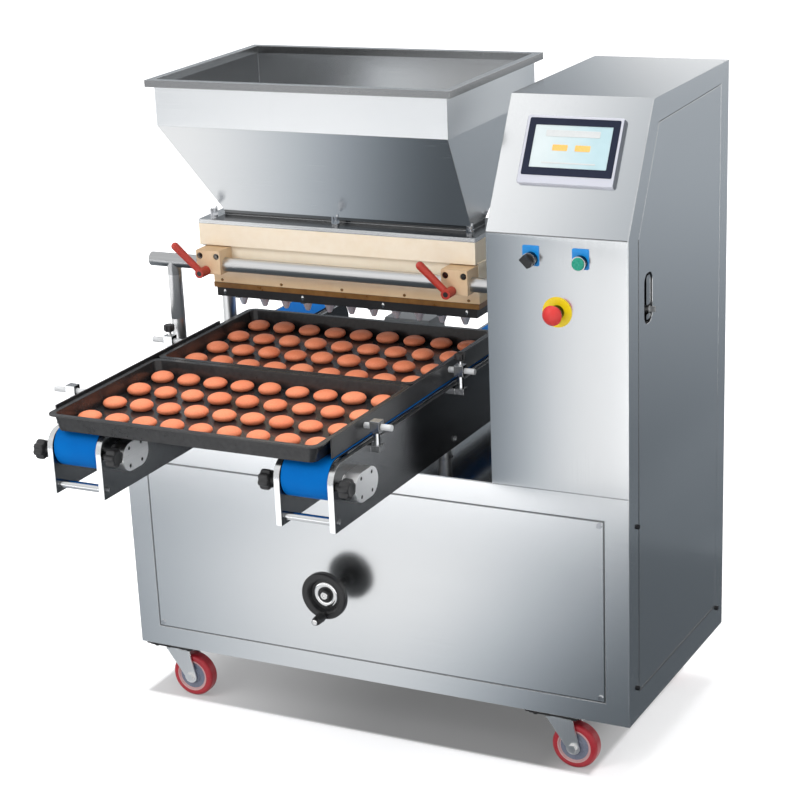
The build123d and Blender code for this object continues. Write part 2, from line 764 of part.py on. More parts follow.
# Conveyor frames: two side plates each, a slider bed, tie rods and the guide clamps
half_inner = conveyor_inner_width / 2
half_outer = half_inner + plate_thick
tray_edges_x = (tray_x - tray_size[0] / 2, tray_x + tray_size[0] / 2)
guide_face_x = (tray_edges_x[0] - guide_gap - guide_sheet, tray_edges_x[1] + guide_gap + guide_sheet)
outer_plate_x = (conveyor_xs[0] - half_outer, conveyor_xs[1] + half_outer)
left_clamp_x = (right_x - 1071, right_x - 1049)
right_clamp_x = (outer_plate_x[1], outer_plate_x[1] + 20)
clamp_zs = (guide_rod_z - 11, guide_rod_z + 12)
clamp_depth = 20
arm_zs = (plate_top_z - 18, plate_top_z - 6)
knob_stem = 10
guide_rod_ys = (front_y - 325, guide_rod_y)
knob_xs = (sum(left_clamp_x) / 2, sum(right_clamp_x) / 2)
with BuildPart() as conveyor_frames:
    for x in conveyor_xs:
        for plate_x in (x - half_outer, x + half_inner):
            plate_plane = Plane(origin=(plate_x, 0, 0), x_dir=(0, 1, 0), z_dir=(1, 0, 0))
            with BuildSketch(plate_plane) as plate_outline:
                with BuildLine():
                    Polyline(
                        (nose_front_y, plate_bottom_z),
                        (conveyor_end_y, plate_bottom_z),
                        (conveyor_end_y, plate_top_z),
                        (nose_front_y, plate_top_z),
                        close=True,
                    )
                make_face()
                fillet(plate_outline.vertices().group_by(Axis.Y)[-1], nose_outer_radius - 5)
            extrude(amount=plate_thick)
        block(
            around(x, conveyor_inner_width),
            (nose_axis_y + roller_radius + 1, drive_axis_y - roller_radius - 1),
            (belt_top_z - belt_thick - 6, belt_top_z - belt_thick - 0.5),
        )
        for y in tie_rod_ys:
            rod((x - half_outer, y, tie_rod_z), (1, 0, 0), 2 * half_outer, tie_rod_radius)
            for start, way in ((x - half_outer, -1), (x + half_outer, 1)):
                rod((start, y, tie_rod_z), (way, 0, 0), 5, 6)
    for y in guide_rod_ys:
        block((left_clamp_x[0], outer_plate_x[0]), around(y, clamp_depth), arm_zs)
        block(right_clamp_x, around(y, clamp_depth), arm_zs)
        for clamp_x in (left_clamp_x, right_clamp_x):
            block(clamp_x, around(y, clamp_depth), clamp_zs)
            rod((sum(clamp_x) / 2, y, arm_zs[0]), (0, 0, 1), clamp_zs[0] - arm_zs[0] + 1, 7)
            cut_rod((clamp_x[0], y, guide_rod_z), (1, 0, 0), 60, guide_rod_radius + fit)
    for x in knob_xs:
        cut_rod((x, guide_rod_y, guide_rod_z), (0, 0, 1), 40, 4 + fit)
    for x in conveyor_xs:
        for y in (nose_axis_y, drive_axis_y):
            cut_rod((x - half_outer, y, roller_z), (1, 0, 0), 2 * half_outer, roller_shaft_radius + fit)
        cut_rod((x - half_outer, nose_knob_y, nose_knob_z), (1, 0, 0), 2 * half_outer, 5 + fit)
save(conveyor_frames, "conveyor_frames")

# Oblong bearing housings on the right plate of each conveyor
with BuildPart() as bearing_housings:
    for x in conveyor_xs:
        outer = Plane(origin=(x + half_outer, housing_y, housing_z), x_dir=(0, 1, 0), z_dir=(1, 0, 0))
        with BuildSketch(outer):
            SlotOverall(housing_size[0], housing_size[1])
        extrude(amount=housing_size[2])
        with BuildSketch(outer.offset(housing_size[2])):
            with GridLocations(42, 36, 2, 2):
                Circle(4)
        extrude(amount=-3, mode=Mode.SUBTRACT)
        with BuildSketch(outer.offset(housing_size[2] - 3)):
            with GridLocations(42, 36, 2, 2):
                RegularPolygon(3.4, 6)
        extrude(amount=2)
save(bearing_housings, "bearing_housings")

# Belts round the nose and drive rollers
belt_span = drive_axis_y - nose_axis_y
with BuildPart() as belts:
    for x in conveyor_xs:
        middle = (x - belt_width / 2, (nose_axis_y + drive_axis_y) / 2, roller_z)
        with BuildSketch(Plane(origin=middle, x_dir=(0, 1, 0), z_dir=(1, 0, 0))):
            SlotCenterToCenter(belt_span, 2 * nose_outer_radius)
            SlotCenterToCenter(belt_span, 2 * roller_radius, mode=Mode.SUBTRACT)
        extrude(amount=belt_width)
save(belts, "belts")

# Nose rollers, one in each conveyor
roller_clear = 0.3
with BuildPart() as nose_rollers:
    for x in conveyor_xs:
        rod((x - belt_width / 2, nose_axis_y, roller_z), (1, 0, 0), belt_width, roller_radius - roller_clear)
        rod((x - half_outer + 0.5, nose_axis_y, roller_z), (1, 0, 0), 2 * half_outer - 1, roller_shaft_radius)
save(nose_rollers, "nose_rollers")

# Drive shaft with a drum in each conveyor
with BuildPart() as drive_shaft:
    for x in conveyor_xs:
        rod((x - belt_width / 2, drive_axis_y, roller_z), (1, 0, 0), belt_width, roller_radius - roller_clear)
    shaft_x = (conveyor_xs[0] - half_outer - 6, conveyor_xs[1] + half_outer + 6)
    rod((shaft_x[0], drive_axis_y, roller_z), (1, 0, 0), shaft_x[1] - shaft_x[0], roller_shaft_radius)
save(drive_shaft, "drive_shaft")

# Conveyor gearmotor on the drive shaft, with its arm to the left conveyor
with BuildPart() as conveyor_motor:
    block(around(head_x, 110), around(drive_axis_y, 84), (roller_z - 50, roller_z + 32))
    chamfer(conveyor_motor.edges().filter_by(Axis.X), 6)
    rod((head_x, drive_axis_y - 42, roller_z - 12), (0, -1, 0), 150, 33)
    rod((head_x, drive_axis_y - 192, roller_z - 12), (0, -1, 0), 25, 29)
    arm_xs = (conveyor_xs[0] + half_outer, head_x - 55)
    block(arm_xs, (drive_axis_y - 40, drive_axis_y - 30), around(roller_z - 25, 30))
    cut_rod((head_x - 60, drive_axis_y, roller_z), (1, 0, 0), 120, roller_shaft_radius + fit)
save(conveyor_motor, "conveyor_motor")

# Tracking knobs at the noses: a lobed knob on a threaded shank through the plate
knob_stand = 12
for side, way in (("left", -1), ("right", 1)):
    with BuildPart() as nose_knobs:
        for x in conveyor_xs:
            knob_foot = (x + way * (half_outer + knob_stand), nose_knob_y, nose_knob_z)
            star_knob(knob_foot, (way, 0, 0), *nose_star)
            rod(knob_foot, (-way, 0, 0), knob_stand + plate_thick, 5)
            rod(knob_foot, (-way, 0, 0), knob_stand - 1, 7)
    save(nose_knobs, f"{side}_nose_knobs")

# Tray guides: a strip on two adjusting rods each side
guide_zs = (guide_bottom_z, guide_bottom_z + guide_height)
guide_shapes = (
    ("left", guide_face_x[0], guide_left_end_y, right_x - 1102, -1),
    ("right", guide_face_x[1], guide_right_end_y, right_clamp_x[1] + 22, 1),
)
for side, outer_x, end_y, rod_end_x, way in guide_shapes:
    strip_x = sorted((outer_x, outer_x - way * guide_sheet))
    rod_length = abs(rod_end_x - outer_x)
    with BuildPart() as guide:
        block(strip_x, (guide_front_y, end_y), guide_zs)
        for y in guide_rod_ys:
            rod((outer_x, y, guide_rod_z), (way, 0, 0), rod_length, guide_rod_radius)
    save(guide, f"{side}_guide")

for side, x in zip(("left", "right"), knob_xs):
    with BuildPart() as guide_knob:
        knob_z = clamp_zs[1] + knob_stem
        star_knob((x, guide_rod_y, knob_z), (0, 0, 1), *guide_star)
        rod((x, guide_rod_y, knob_z), (0, 0, -1), knob_z - guide_rod_z - guide_rod_radius - 0.5, 4)
    save(guide_knob, f"{side}_guide_knob")

# Two baking trays, nose to tail on the belts
tray_ys = {"front_tray": tray_front_y, "rear_tray": tray_front_y + tray_size[1] + tray_gap}
flare = 6
for name, start_y in tray_ys.items():
    with BuildPart() as tray:
        middle_y = start_y + tray_size[1] / 2
        inset = 2 * (tray_lip + flare)
        top_z = belt_top_z + tray_height
        shells = ((0, belt_top_z, Mode.ADD), (-2 * tray_wall, belt_top_z + tray_floor, Mode.SUBTRACT))
        for grow, low_z, mode in shells:
            for spread, z in ((0, low_z), (2 * flare, top_z)):
                change = grow + spread - inset
                with BuildSketch(Plane(origin=(tray_x, middle_y, z))):
                    RectangleRounded(tray_size[0] + change, tray_size[1] + change, 14)
            loft(mode=mode)
        with BuildSketch(Plane(origin=(tray_x, middle_y, top_z))):
            RectangleRounded(tray_size[0], tray_size[1], 20)
            mouth = [length - 2 * tray_lip - 2 for length in tray_size]
            RectangleRounded(mouth[0], mouth[1], 14, mode=Mode.SUBTRACT)
        extrude(amount=-3)
    save(tray, name)

# Hopper: folded rim, straight collar, tapered walls, neck and bolted flange
hopper_x = (rim_x[0] + lip_width, rim_x[1] - lip_width)
hopper_y = (rim_y[0] + lip_width, rim_y[1] - lip_width)
head_ys = (head_front_y, head_back_y)
upper_ys = (upper_front_y, head_back_y)
wing_nut_xs = (upper_xs[0] + 23, head_x, upper_xs[1] - 23)
wing_nut_ys = (head_front_y + 18, head_back_y - 18)


def grown(limits, amount):
    """Limits moved outward by an amount at both ends."""
    return (limits[0] - amount, limits[1] + amount)


def taper(low, low_z, high, high_z, mode=Mode.ADD):
    """A loft between two level rectangles given as (xs, ys) limits."""
    outlines = []
    for (xs, ys), z in ((low, low_z), (high, high_z)):
        with BuildSketch(Plane(origin=(sum(xs) / 2, sum(ys) / 2, z))) as outline:
            Rectangle(xs[1] - xs[0], ys[1] - ys[0])
        outlines.append(outline.sketch)
    loft(outlines, ruled=True, mode=mode)


thin = -hopper_sheet
with BuildPart() as hopper:
    block(rim_x, rim_y, (rim_z - lip_height, rim_z))
    cut_block(grown(rim_x, thin), grown(rim_y, thin), (rim_z - lip_height, rim_z - hopper_sheet))
    block(hopper_x, hopper_y, (hopper_crease_z, rim_z))
    taper((throat_x, throat_y), hopper_bottom_z, (hopper_x, hopper_y), hopper_crease_z)
    block(throat_x, throat_y, (flange_bottom_z, hopper_bottom_z))
    block(upper_xs, upper_ys, (flange_bottom_z, flange_top_z))
    cut_block(grown(hopper_x, thin), grown(hopper_y, thin), (hopper_crease_z, rim_z))
    taper(
        (grown(throat_x, thin), grown(throat_y, thin)),
        hopper_bottom_z,
        (grown(hopper_x, thin), grown(hopper_y, thin)),
        hopper_crease_z,
        mode=Mode.SUBTRACT,
    )
    cut_block(grown(throat_x, thin), grown(throat_y, thin), (flange_bottom_z, hopper_bottom_z))
    for x in wing_nut_xs:
        for y in wing_nut_ys:
            cut_rod((x, y, flange_bottom_z), (0, 0, 1), 20, 4.3)
save(hopper, "hopper")

# Upper block: the manifold that feeds every cylinder from the hopper
stud_depth = 20
with BuildPart() as upper_block:
    block(upper_xs, upper_ys, (block_top_z, upper_top_z))
    cut_block(grown(throat_x, thin), around(head_axis_y, 30), (block_top_z, upper_top_z))
    for x in wing_nut_xs:
        for y in wing_nut_ys:
            cut_rod((x, y, upper_top_z), (0, 0, -1), stud_depth, 4)
save(upper_block, "upper_block")

# Piston block: the valve bore along its length, and a cylinder and two ports per nozzle
with BuildPart() as piston_block:
    block(head_xs, head_ys, (block_bottom_z, block_top_z))
    cut_rod((head_xs[0], head_axis_y, valve_z), (1, 0, 0), head_width, valve_radius + fit)
    for x in nozzle_xs:
        cut_rod((x, head_axis_y, piston_z), (0, 1, 0), head_back_y - head_axis_y, piston_radius + fit)
        cut_rod((x, head_axis_y, block_bottom_z), (0, 0, 1), block_top_z - block_bottom_z, valve_port)
save(piston_block, "piston_block")

# Seal strip and nozzle plate under the block, and the row of nozzles
neck_radius = 11
with BuildPart() as seal_strip:
    block(head_xs, grown(head_ys, 2), (strip_bottom_z, block_bottom_z))
    for x in nozzle_xs:
        cut_rod((x, head_axis_y, strip_bottom_z), (0, 0, 1), block_bottom_z - strip_bottom_z, valve_port)
save(seal_strip, "seal_strip")

with BuildPart() as nozzle_plate:
    block(grown(head_xs, -6), head_ys, (plate_low_z, strip_bottom_z))
    for x in nozzle_xs:
        cut_rod((x, head_axis_y, plate_low_z), (0, 0, 1), strip_bottom_z - plate_low_z, neck_radius)
save(nozzle_plate, "nozzle_plate")

with BuildPart() as nozzles:
    for x in nozzle_xs:
        with BuildSketch(Plane(origin=(x, head_axis_y, 0), x_dir=(1, 0, 0), z_dir=(0, -1, 0))):
            with BuildLine():
                Polyline(
                    (valve_port, strip_bottom_z),
                    (neck_radius, strip_bottom_z),
                    (neck_radius, plate_low_z),
                    (nozzle_radius, plate_low_z),
                    (nozzle_radius, plate_low_z - 3),
                    (nozzle_tip_radius, nozzle_tip_z + 3),
                    (nozzle_tip_radius - 1.5, nozzle_tip_z),
                    (nozzle_bore, nozzle_tip_z),
                    close=True,
                )
            make_face()
        revolve(axis=Axis((x, head_axis_y, 0), (0, 0, 1)))
save(nozzles, "nozzles")

# Rotary valve: an angled port through the shaft at each cylinder
valve_end_x = column_x + 60
with BuildPart() as valve_shaft:
    rod((head_xs[0] - 14, head_axis_y, valve_z), (1, 0, 0), head_width + 18, valve_radius)
    rod((head_xs[0] - 24, head_axis_y, valve_z), (1, 0, 0), valve_end_x - head_xs[0] + 24, 12)
    for x in nozzle_xs:
        cut_rod((x, head_axis_y, valve_z), (0, 1, 0), valve_radius + 1, valve_port)
        cut_rod((x, head_axis_y, valve_z), (0, 0, -1), valve_radius + 1, valve_port)
save(valve_shaft, "valve_shaft")

# Piston set: pistons on rods, joined by a bar with two racks behind it
rack_pitch = pi * rack_module
rack_tip = 0.88 * rack_module
rack_root = 1.25 * rack_module
flank = 0.36397
piston_front_y = head_axis_y + 22
rack_top_z = rack_pitch_z - rack_root
rack_end_y = pinion_axis_y + 3.5 * rack_pitch
rack_low_z = 998
with BuildPart() as piston_set:
    block((nozzle_xs[0] - 15, nozzle_xs[-1] + 15), (bar_front_y, bar_back_y), (rack_low_z - 6, rack_top_z))
    for x in nozzle_xs:
        rod((x, piston_front_y, piston_z), (0, 1, 0), piston_length, piston_radius)
        rod((x, piston_front_y, piston_z), (0, 1, 0), bar_front_y - piston_front_y + 1, piston_rod_radius)
    for offset_x in rack_offsets_x:
        x = head_x + offset_x
        block(around(x, rack_width), (bar_back_y, rack_end_y), (rack_low_z, rack_top_z))
        with BuildSketch(Plane(origin=(x - rack_width / 2, 0, 0), x_dir=(0, 1, 0), z_dir=(1, 0, 0))):
            for k in range(3 - rack_teeth, 3):
                tooth_y = pinion_axis_y + (k + 0.5) * rack_pitch
                half_pitch_width = rack_pitch / 4 - backlash / 4
                with BuildLine():
                    Polyline(
                        (tooth_y - half_pitch_width - rack_root * flank, rack_top_z),
                        (tooth_y + half_pitch_width + rack_root * flank, rack_top_z),
                        (tooth_y + half_pitch_width - rack_tip * flank, rack_pitch_z + rack_tip),
                        (tooth_y - half_pitch_width + rack_tip * flank, rack_pitch_z + rack_tip),
                        close=True,
                    )
                make_face()
        extrude(amount=rack_width)
save(piston_set, "piston_set")

# Pinion shaft: two involute pinions over the racks
pressure_angle = atan2(flank, 1)
base_radius = pinion_pitch_radius * cos(pressure_angle)
tip_radius = pinion_pitch_radius + rack_tip
root_radius = pinion_pitch_radius - rack_root
pitch_half_angle = (rack_pitch / 4 - backlash / 4) / pinion_pitch_radius
pitch_roll = (pinion_pitch_radius**2 / base_radius**2 - 1) ** 0.5


def flank_angle(radius):
    """Half the angle that a pinion tooth takes at a radius, by the involute."""
    roll = max(radius**2 / base_radius**2 - 1, 0) ** 0.5
    return pitch_half_angle + (pitch_roll - atan2(pitch_roll, 1)) - (roll - atan2(roll, 1))


tooth_radii = [base_radius + step * (tip_radius - base_radius) / 4 for step in range(5)]
tooth_side = [(root_radius - 1, flank_angle(base_radius))] + [(r, flank_angle(r)) for r in tooth_radii]
tooth_outline = [(r * sin(a), -r * cos(a)) for r, a in tooth_side]
tooth_outline += [(-u, v) for u, v in reversed(tooth_outline)]
shaft_left_x = head_xs[0] + 8
with BuildPart() as pinion_shaft:
    rod((shaft_left_x, pinion_axis_y, pinion_z), (1, 0, 0), valve_end_x - shaft_left_x, pinion_shaft_radius)
    for offset_x in rack_offsets_x:
        start = (head_x + offset_x - rack_width / 2 - 1, pinion_axis_y, pinion_z)
        with BuildSketch(Plane(origin=start, x_dir=(0, 1, 0), z_dir=(1, 0, 0))):
            Circle(root_radius)
            with PolarLocations(0, pinion_teeth):
                Polygon(*tooth_outline, align=None)
        extrude(amount=rack_width + 2)
save(pinion_shaft, "pinion_shaft")

# Brackets behind the upper block that carry the pinion shaft
with BuildPart() as pinion_brackets:
    for x in (head_xs[0] + 19, head_xs[1] - 19):
        block(around(x, 12), (head_back_y, pinion_axis_y + 25), (pinion_z - 17, upper_top_z))
        cut_rod((x - 6, pinion_axis_y, pinion_z), (1, 0, 0), 12, pinion_shaft_radius + fit)
save(pinion_brackets, "pinion_brackets")

# Gearmotors inside the column for the valve and the pistons
motor_x = column_x + sheet
with BuildPart() as head_motors:
    for y, z, bore in ((head_axis_y, valve_z, 12), (pinion_axis_y, pinion_z, pinion_shaft_radius)):
        block((motor_x, motor_x + 8), around(y, 100), around(z, 100))
        block((motor_x + 8, motor_x + 88), around(y, 80), around(z, 80))
        rod((motor_x + 88, y, z), (1, 0, 0), 110, 36)
        cut_rod((motor_x, y, z), (1, 0, 0), 60, bore + fit)
save(head_motors, "head_motors")

# Head rails on two posts at the left, and into the column's wall at the right
rail_places = ((rail_front_y, rail_front_z), (rail_back_y, rail_back_z))
with BuildPart() as head_rails:
    for y, z in rail_places:
        rod((rail_left_x, y, z), (1, 0, 0), column_x - rail_left_x, rail_radius)
        rod((column_x - 6, y, z), (1, 0, 0), 6, rail_radius + 10)
        rod((post_x, y, deck_z), (0, 0, 1), z - deck_z, rail_radius)
        rod((post_x, y, deck_z), (0, 0, 1), 8, rail_radius + 18)
save(head_rails, "head_rails")

# Clamp blocks on the front rail and saddles on the back rail
clamp_bolt_dx = 20
clamp_bolt_z = clamp_top_z - 12
bolt_head = (6.5, 6)
bolt_sink = 1.5
saddle_width = 15
saddle_top_z = pinion_z - 18
lever_xs = [x + lever_hub_dx for x in clamp_xs]
with BuildPart() as clamp_blocks:
    for x in clamp_xs:
        block(around(x, clamp_size_x), (clamp_front_y, head_front_y), (clamp_bottom_z, clamp_top_z))
        for bolt_x in (x - clamp_bolt_dx, x + clamp_bolt_dx):
            bolt_start = (bolt_x, clamp_front_y, clamp_bolt_z)
            cut_rod(bolt_start, (0, 1, 0), 60, 4)
            cut_rod(bolt_start, (0, 1, 0), bolt_sink + bolt_head[1], bolt_head[0] + 0.3)
    for xs in ((head_xs[0], head_xs[0] + saddle_width), (head_xs[1] - saddle_width, head_xs[1])):
        block(xs, (head_back_y, rail_back_y + 20), (clamp_bottom_z, saddle_top_z))
    for y, z in rail_places:
        cut_rod((head_xs[0] - 50, y, z), (1, 0, 0), head_width + 100, rail_radius)
    for x in lever_xs:
        cut_rod((x, clamp_front_y, lever_z), (0, 1, 0), 20, shank_radius + fit)
save(clamp_blocks, "clamp_blocks")

# Clamping levers: a hub with a threaded shank, and an arm towards the upper left
arm_way = (-0.66, -0.18, 0.73)
hub_length = 30
rail_touch_y = rail_front_y - (rail_radius**2 - (rail_front_z - lever_z - shank_radius) ** 2) ** 0.5
for name, x in zip(("lever_left", "lever_right"), lever_xs):
    with BuildPart() as lever:
        rod((x, clamp_front_y - 0.5, lever_z), (0, -1, 0), hub_length, 10)
        rod((x, rail_touch_y - 0.5, lever_z), (0, -1, 0), rail_touch_y - clamp_front_y + 10, shank_radius)
        arm_start = (x, clamp_front_y - hub_length + 9, lever_z)
        with Locations(Plane(origin=arm_start, z_dir=arm_way)):
            Cone(7, 8.5, lever_length, align=(Align.CENTER, Align.CENTER, Align.MIN))
            with Locations((0, 0, lever_length)):
                Sphere(8.5)
    save(lever, name)

# Fasteners: service-panel screws, side bolts, clamp bolts, wing nuts and nozzle-plate bolts
side_bolts = ((front_y + 45, 552), (front_y + 45, 202), (front_y + 532, 182))
wing_span = 26
with BuildPart() as fasteners:
    for x, z in screw_points:
        rod((x, front_y, z), (0, -1, 0), 3, 5.5)
        rod((x, front_y, z), (0, 1, 0), sheet + tube_wall, 3)
    for y, z in side_bolts:
        rod((right_x, y, z), (1, 0, 0), 4, 5)
    for x in clamp_xs:
        for bolt_x in (x - clamp_bolt_dx, x + clamp_bolt_dx):
            head_start = (bolt_x, clamp_front_y + bolt_sink, clamp_bolt_z)
            rod(head_start, (0, 1, 0), bolt_head[1], bolt_head[0])
            rod(head_start, (0, 1, 0), head_front_y - head_start[1], 4)
            with BuildSketch(Plane(origin=head_start, x_dir=(1, 0, 0), z_dir=(0, -1, 0))) as socket:
                RegularPolygon(3.5, 6)
            extrude(socket.sketch, amount=-4, mode=Mode.SUBTRACT)
    for x in wing_nut_xs:
        for y in wing_nut_ys:
            rod((x, y, upper_top_z - stud_depth), (0, 0, 1), stud_depth + 26, 4)
            rod((x, y, flange_top_z), (0, 0, 1), 10, 8)
            with BuildSketch(Plane(origin=(x - 1.5, y, flange_top_z), x_dir=(0, 1, 0), z_dir=(1, 0, 0))):
                for way in (-1, 1):
                    with BuildLine():
                        Polyline(
                            (way * 5, 2),
                            (way * 9, 2),
                            (way * wing_span / 2, 12),
                            (way * wing_span / 2, 20),
                            (way * 9, 20),
                            (way * 5, 9),
                            close=True,
                        )
                    make_face()
            extrude(amount=3)
    for x in (nozzle_xs[i] + nozzle_pitch / 2 for i in range(0, nozzle_count - 1, 3)):
        for y in (head_front_y + 15, head_back_y - 15):
            with BuildSketch(Plane(origin=(x, y, plate_low_z))):
                RegularPolygon(7, 6)
            extrude(amount=-5)
save(fasteners, "fasteners")
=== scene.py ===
"""Looks of the cake batter filling machine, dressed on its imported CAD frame."""

from math import cos, pi, radians, sin

import bmesh
import bpy
from mathutils import Matrix, Vector


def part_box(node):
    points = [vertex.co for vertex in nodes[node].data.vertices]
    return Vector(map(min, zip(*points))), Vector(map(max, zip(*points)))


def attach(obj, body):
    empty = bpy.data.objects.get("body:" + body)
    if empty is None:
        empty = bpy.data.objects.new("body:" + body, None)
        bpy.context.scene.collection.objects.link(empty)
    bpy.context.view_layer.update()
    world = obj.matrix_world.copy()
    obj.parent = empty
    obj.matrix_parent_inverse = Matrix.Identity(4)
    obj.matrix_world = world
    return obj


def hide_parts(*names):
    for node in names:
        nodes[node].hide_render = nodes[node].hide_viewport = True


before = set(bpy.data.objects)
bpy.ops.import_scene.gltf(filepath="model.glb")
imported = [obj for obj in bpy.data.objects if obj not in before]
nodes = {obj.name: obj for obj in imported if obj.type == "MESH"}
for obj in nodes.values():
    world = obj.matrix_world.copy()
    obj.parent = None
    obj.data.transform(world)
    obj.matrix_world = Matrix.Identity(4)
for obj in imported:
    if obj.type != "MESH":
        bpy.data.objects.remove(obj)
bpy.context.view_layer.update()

# Camera of the photograph: place in metres, angles in degrees, focal length and middle in pixels
IMAGE = 800
CAMERA_PLACE = (2.010256, -3.792946, 2.131647)
CAMERA_AZIMUTH = 30.199
CAMERA_DROP = 20.76
CAMERA_ROLL = 3.499
CAMERA_REACH = 50
FOCAL_PIXELS = 2184.462
MIDDLE_X = 294.584
MIDDLE_Y = 517.351
SENSOR = 36.0

MM = 0.001
# Planes of the cabinet's front and right side, and the height where the column's front starts to lean
FRONT_Y = -44 * MM
RIGHT_X = 580 * MM
COLUMN_CREASE = 1136 * MM


def lowest(node):
    """Lowest corner of a node's box at rest."""
    return Vector(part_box(node)[0])


def highest(node):
    """Highest corner of a node's box at rest."""
    return Vector(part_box(node)[1])


def middle(node):
    """Middle of a node's box at rest."""
    return (lowest(node) + highest(node)) / 2


def aim_camera():
    """The photograph's camera, with its off-centre view as lens shift."""
    a = radians(CAMERA_AZIMUTH)
    e = radians(CAMERA_DROP)
    r = radians(CAMERA_ROLL)
    forward = Vector((-sin(a) * cos(e), cos(a) * cos(e), -sin(e)))
    level_right = Vector((cos(a), sin(a), 0))
    level_down = forward.cross(level_right)
    right = cos(r) * level_right + sin(r) * level_down
    down = -sin(r) * level_right + cos(r) * level_down
    data = bpy.data.cameras.new("photo_camera")
    data.sensor_width = SENSOR
    data.lens = FOCAL_PIXELS / IMAGE * SENSOR
    data.shift_x = (IMAGE / 2 - MIDDLE_X) / IMAGE
    data.shift_y = (MIDDLE_Y - IMAGE / 2) / IMAGE
    data.clip_end = CAMERA_REACH
    camera = bpy.data.objects.new("photo_camera", data)
    bpy.context.scene.collection.objects.link(camera)
    turn = Matrix((right, -down, -forward)).transposed().to_4x4()
    camera.matrix_world = Matrix.Translation(CAMERA_PLACE) @ turn
    bpy.context.scene.camera = camera


def new_tree(name):
    """A material with an empty node tree and its output."""
    material = bpy.data.materials.new(name)
    material.use_nodes = True
    tree = material.node_tree
    tree.nodes.clear()
    output = tree.nodes.new("ShaderNodeOutputMaterial")
    return material, tree, output


def feed(tree, value, socket):
    """Link another socket into a socket, or set it to a plain value."""
    if isinstance(value, bpy.types.NodeSocket):
        tree.links.new(value, socket)
    else:
        socket.default_value = value


def add(tree, kind, **values):
    """A node of one kind, its sockets fed and its properties set by name, with _ for a socket's spaces."""
    node = tree.nodes.new(kind)
    for name, value in values.items():
        label = name.replace("_", " ")
        if label in node.inputs:
            feed(tree, value, node.inputs[label])
        else:
            setattr(node, name, value)
    return node


def reckon(tree, operation, *values, **settings):
    """Socket with the result of a Math node on sockets or numbers."""
    node = add(tree, "ShaderNodeMath", operation=operation, **settings)
    for socket, value in zip(node.inputs, values):
        feed(tree, value, socket)
    return node.outputs[0]


def remap(tree, value, start, end, low=0.0, high=1.0, kind="LINEAR"):
    """Socket that runs from low to high while another one runs from start to end."""
    node = add(tree, "ShaderNodeMapRange", interpolation_type=kind, Value=value, From_Min=start, From_Max=end,
               To_Min=low, To_Max=high)
    return node.outputs[0]


# Places of the colour sockets among a Mix node's inputs and outputs
MIX_FIRST = 6
MIX_SECOND = 7
MIX_RESULT = 2


def mixed(tree, share, first, second):
    """Socket with two colours mixed: the first where the share is 0, the second where it is 1."""
    node = add(tree, "ShaderNodeMix", data_type="RGBA", Factor=share)
    feed(tree, first, node.inputs[MIX_FIRST])
    feed(tree, second, node.inputs[MIX_SECOND])
    return node.outputs[MIX_RESULT]


def chosen(tree, share, first, second):
    """Socket with two shaders mixed: the first where the share is 0, the second where it is 1."""
    node = add(tree, "ShaderNodeMixShader", Fac=share)
    tree.links.new(first, node.inputs[1])
    tree.links.new(second, node.inputs[2])
    return node.outputs[0]


FLOAT = "NodeSocketFloat"
VECTOR = "NodeSocketVector"
COLOUR = "NodeSocketColor"


def effect_group(name, inputs):
    """A shader group that gives colour, roughness and normal: its tree, its inputs and the object place."""
    tree = bpy.data.node_groups.new(name, "ShaderNodeTree")
    for label, kind, value in inputs:
        socket = tree.interface.new_socket(label, in_out="INPUT", socket_type=kind)
        socket.default_value = value
    for label, kind in (("Color", COLOUR), ("Roughness", FLOAT), ("Normal", VECTOR)):
        tree.interface.new_socket(label, in_out="OUTPUT", socket_type=kind)
    inside = tree.nodes.new("NodeGroupInput").outputs
    return tree, inside, add(tree, "ShaderNodeTexCoord").outputs["Object"]


def finish_effect(tree, inside, fine, slow, slow_share, reach, roughness, **bump):
    """Colour, roughness, bump and soft edges of a group, from a fine and a slow noise."""
    blend = reckon(tree, "MULTIPLY_ADD", slow.outputs["Fac"], slow_share, fine.outputs["Fac"])
    share = remap(tree, blend, *reach)
    bevel = add(tree, "ShaderNodeBevel", samples=4, Radius=inside["Edge"])
    bumped = add(tree, "ShaderNodeBump", Height=fine.outputs["Fac"], Normal=bevel.outputs[0], **bump)
    add(tree, "NodeGroupOutput",
        Color=mixed(tree, share, inside["Dark"], inside["Light"]),
        Roughness=remap(tree, share, 0.0, 1.0, *roughness),
        Normal=bumped.outputs[0])


def make_grain_group():
    """Brushed grain: streaks stretched along one axis, with slow clouding and soft edges."""
    tree, inside, place = effect_group("brushed_grain", [
        ("Stretch", VECTOR, (900.0, 900.0, 9.0)),
        ("Dark", COLOUR, (0.5, 0.5, 0.5, 1)),
        ("Light", COLOUR, (0.6, 0.6, 0.6, 1)),
        ("Smooth", FLOAT, 0.25),
        ("Rough", FLOAT, 0.4),
        ("Edge", FLOAT, 0.0015),
    ])
    stretch = add(tree, "ShaderNodeVectorMath", operation="MULTIPLY", Vector=place)
    tree.links.new(inside["Stretch"], stretch.inputs[1])
    streak = add(tree, "ShaderNodeTexNoise", Vector=stretch.outputs[0], Scale=1.0, Detail=4.0, Roughness=0.62)
    cloud = add(tree, "ShaderNodeTexNoise", Vector=place, Scale=3.2, Detail=3.0)
    finish_effect(tree, inside, streak, cloud, slow_share=0.45, reach=(0.45, 0.98),
                  roughness=(inside["Rough"], inside["Smooth"]), Strength=0.005, Distance=0.0002)
    return tree


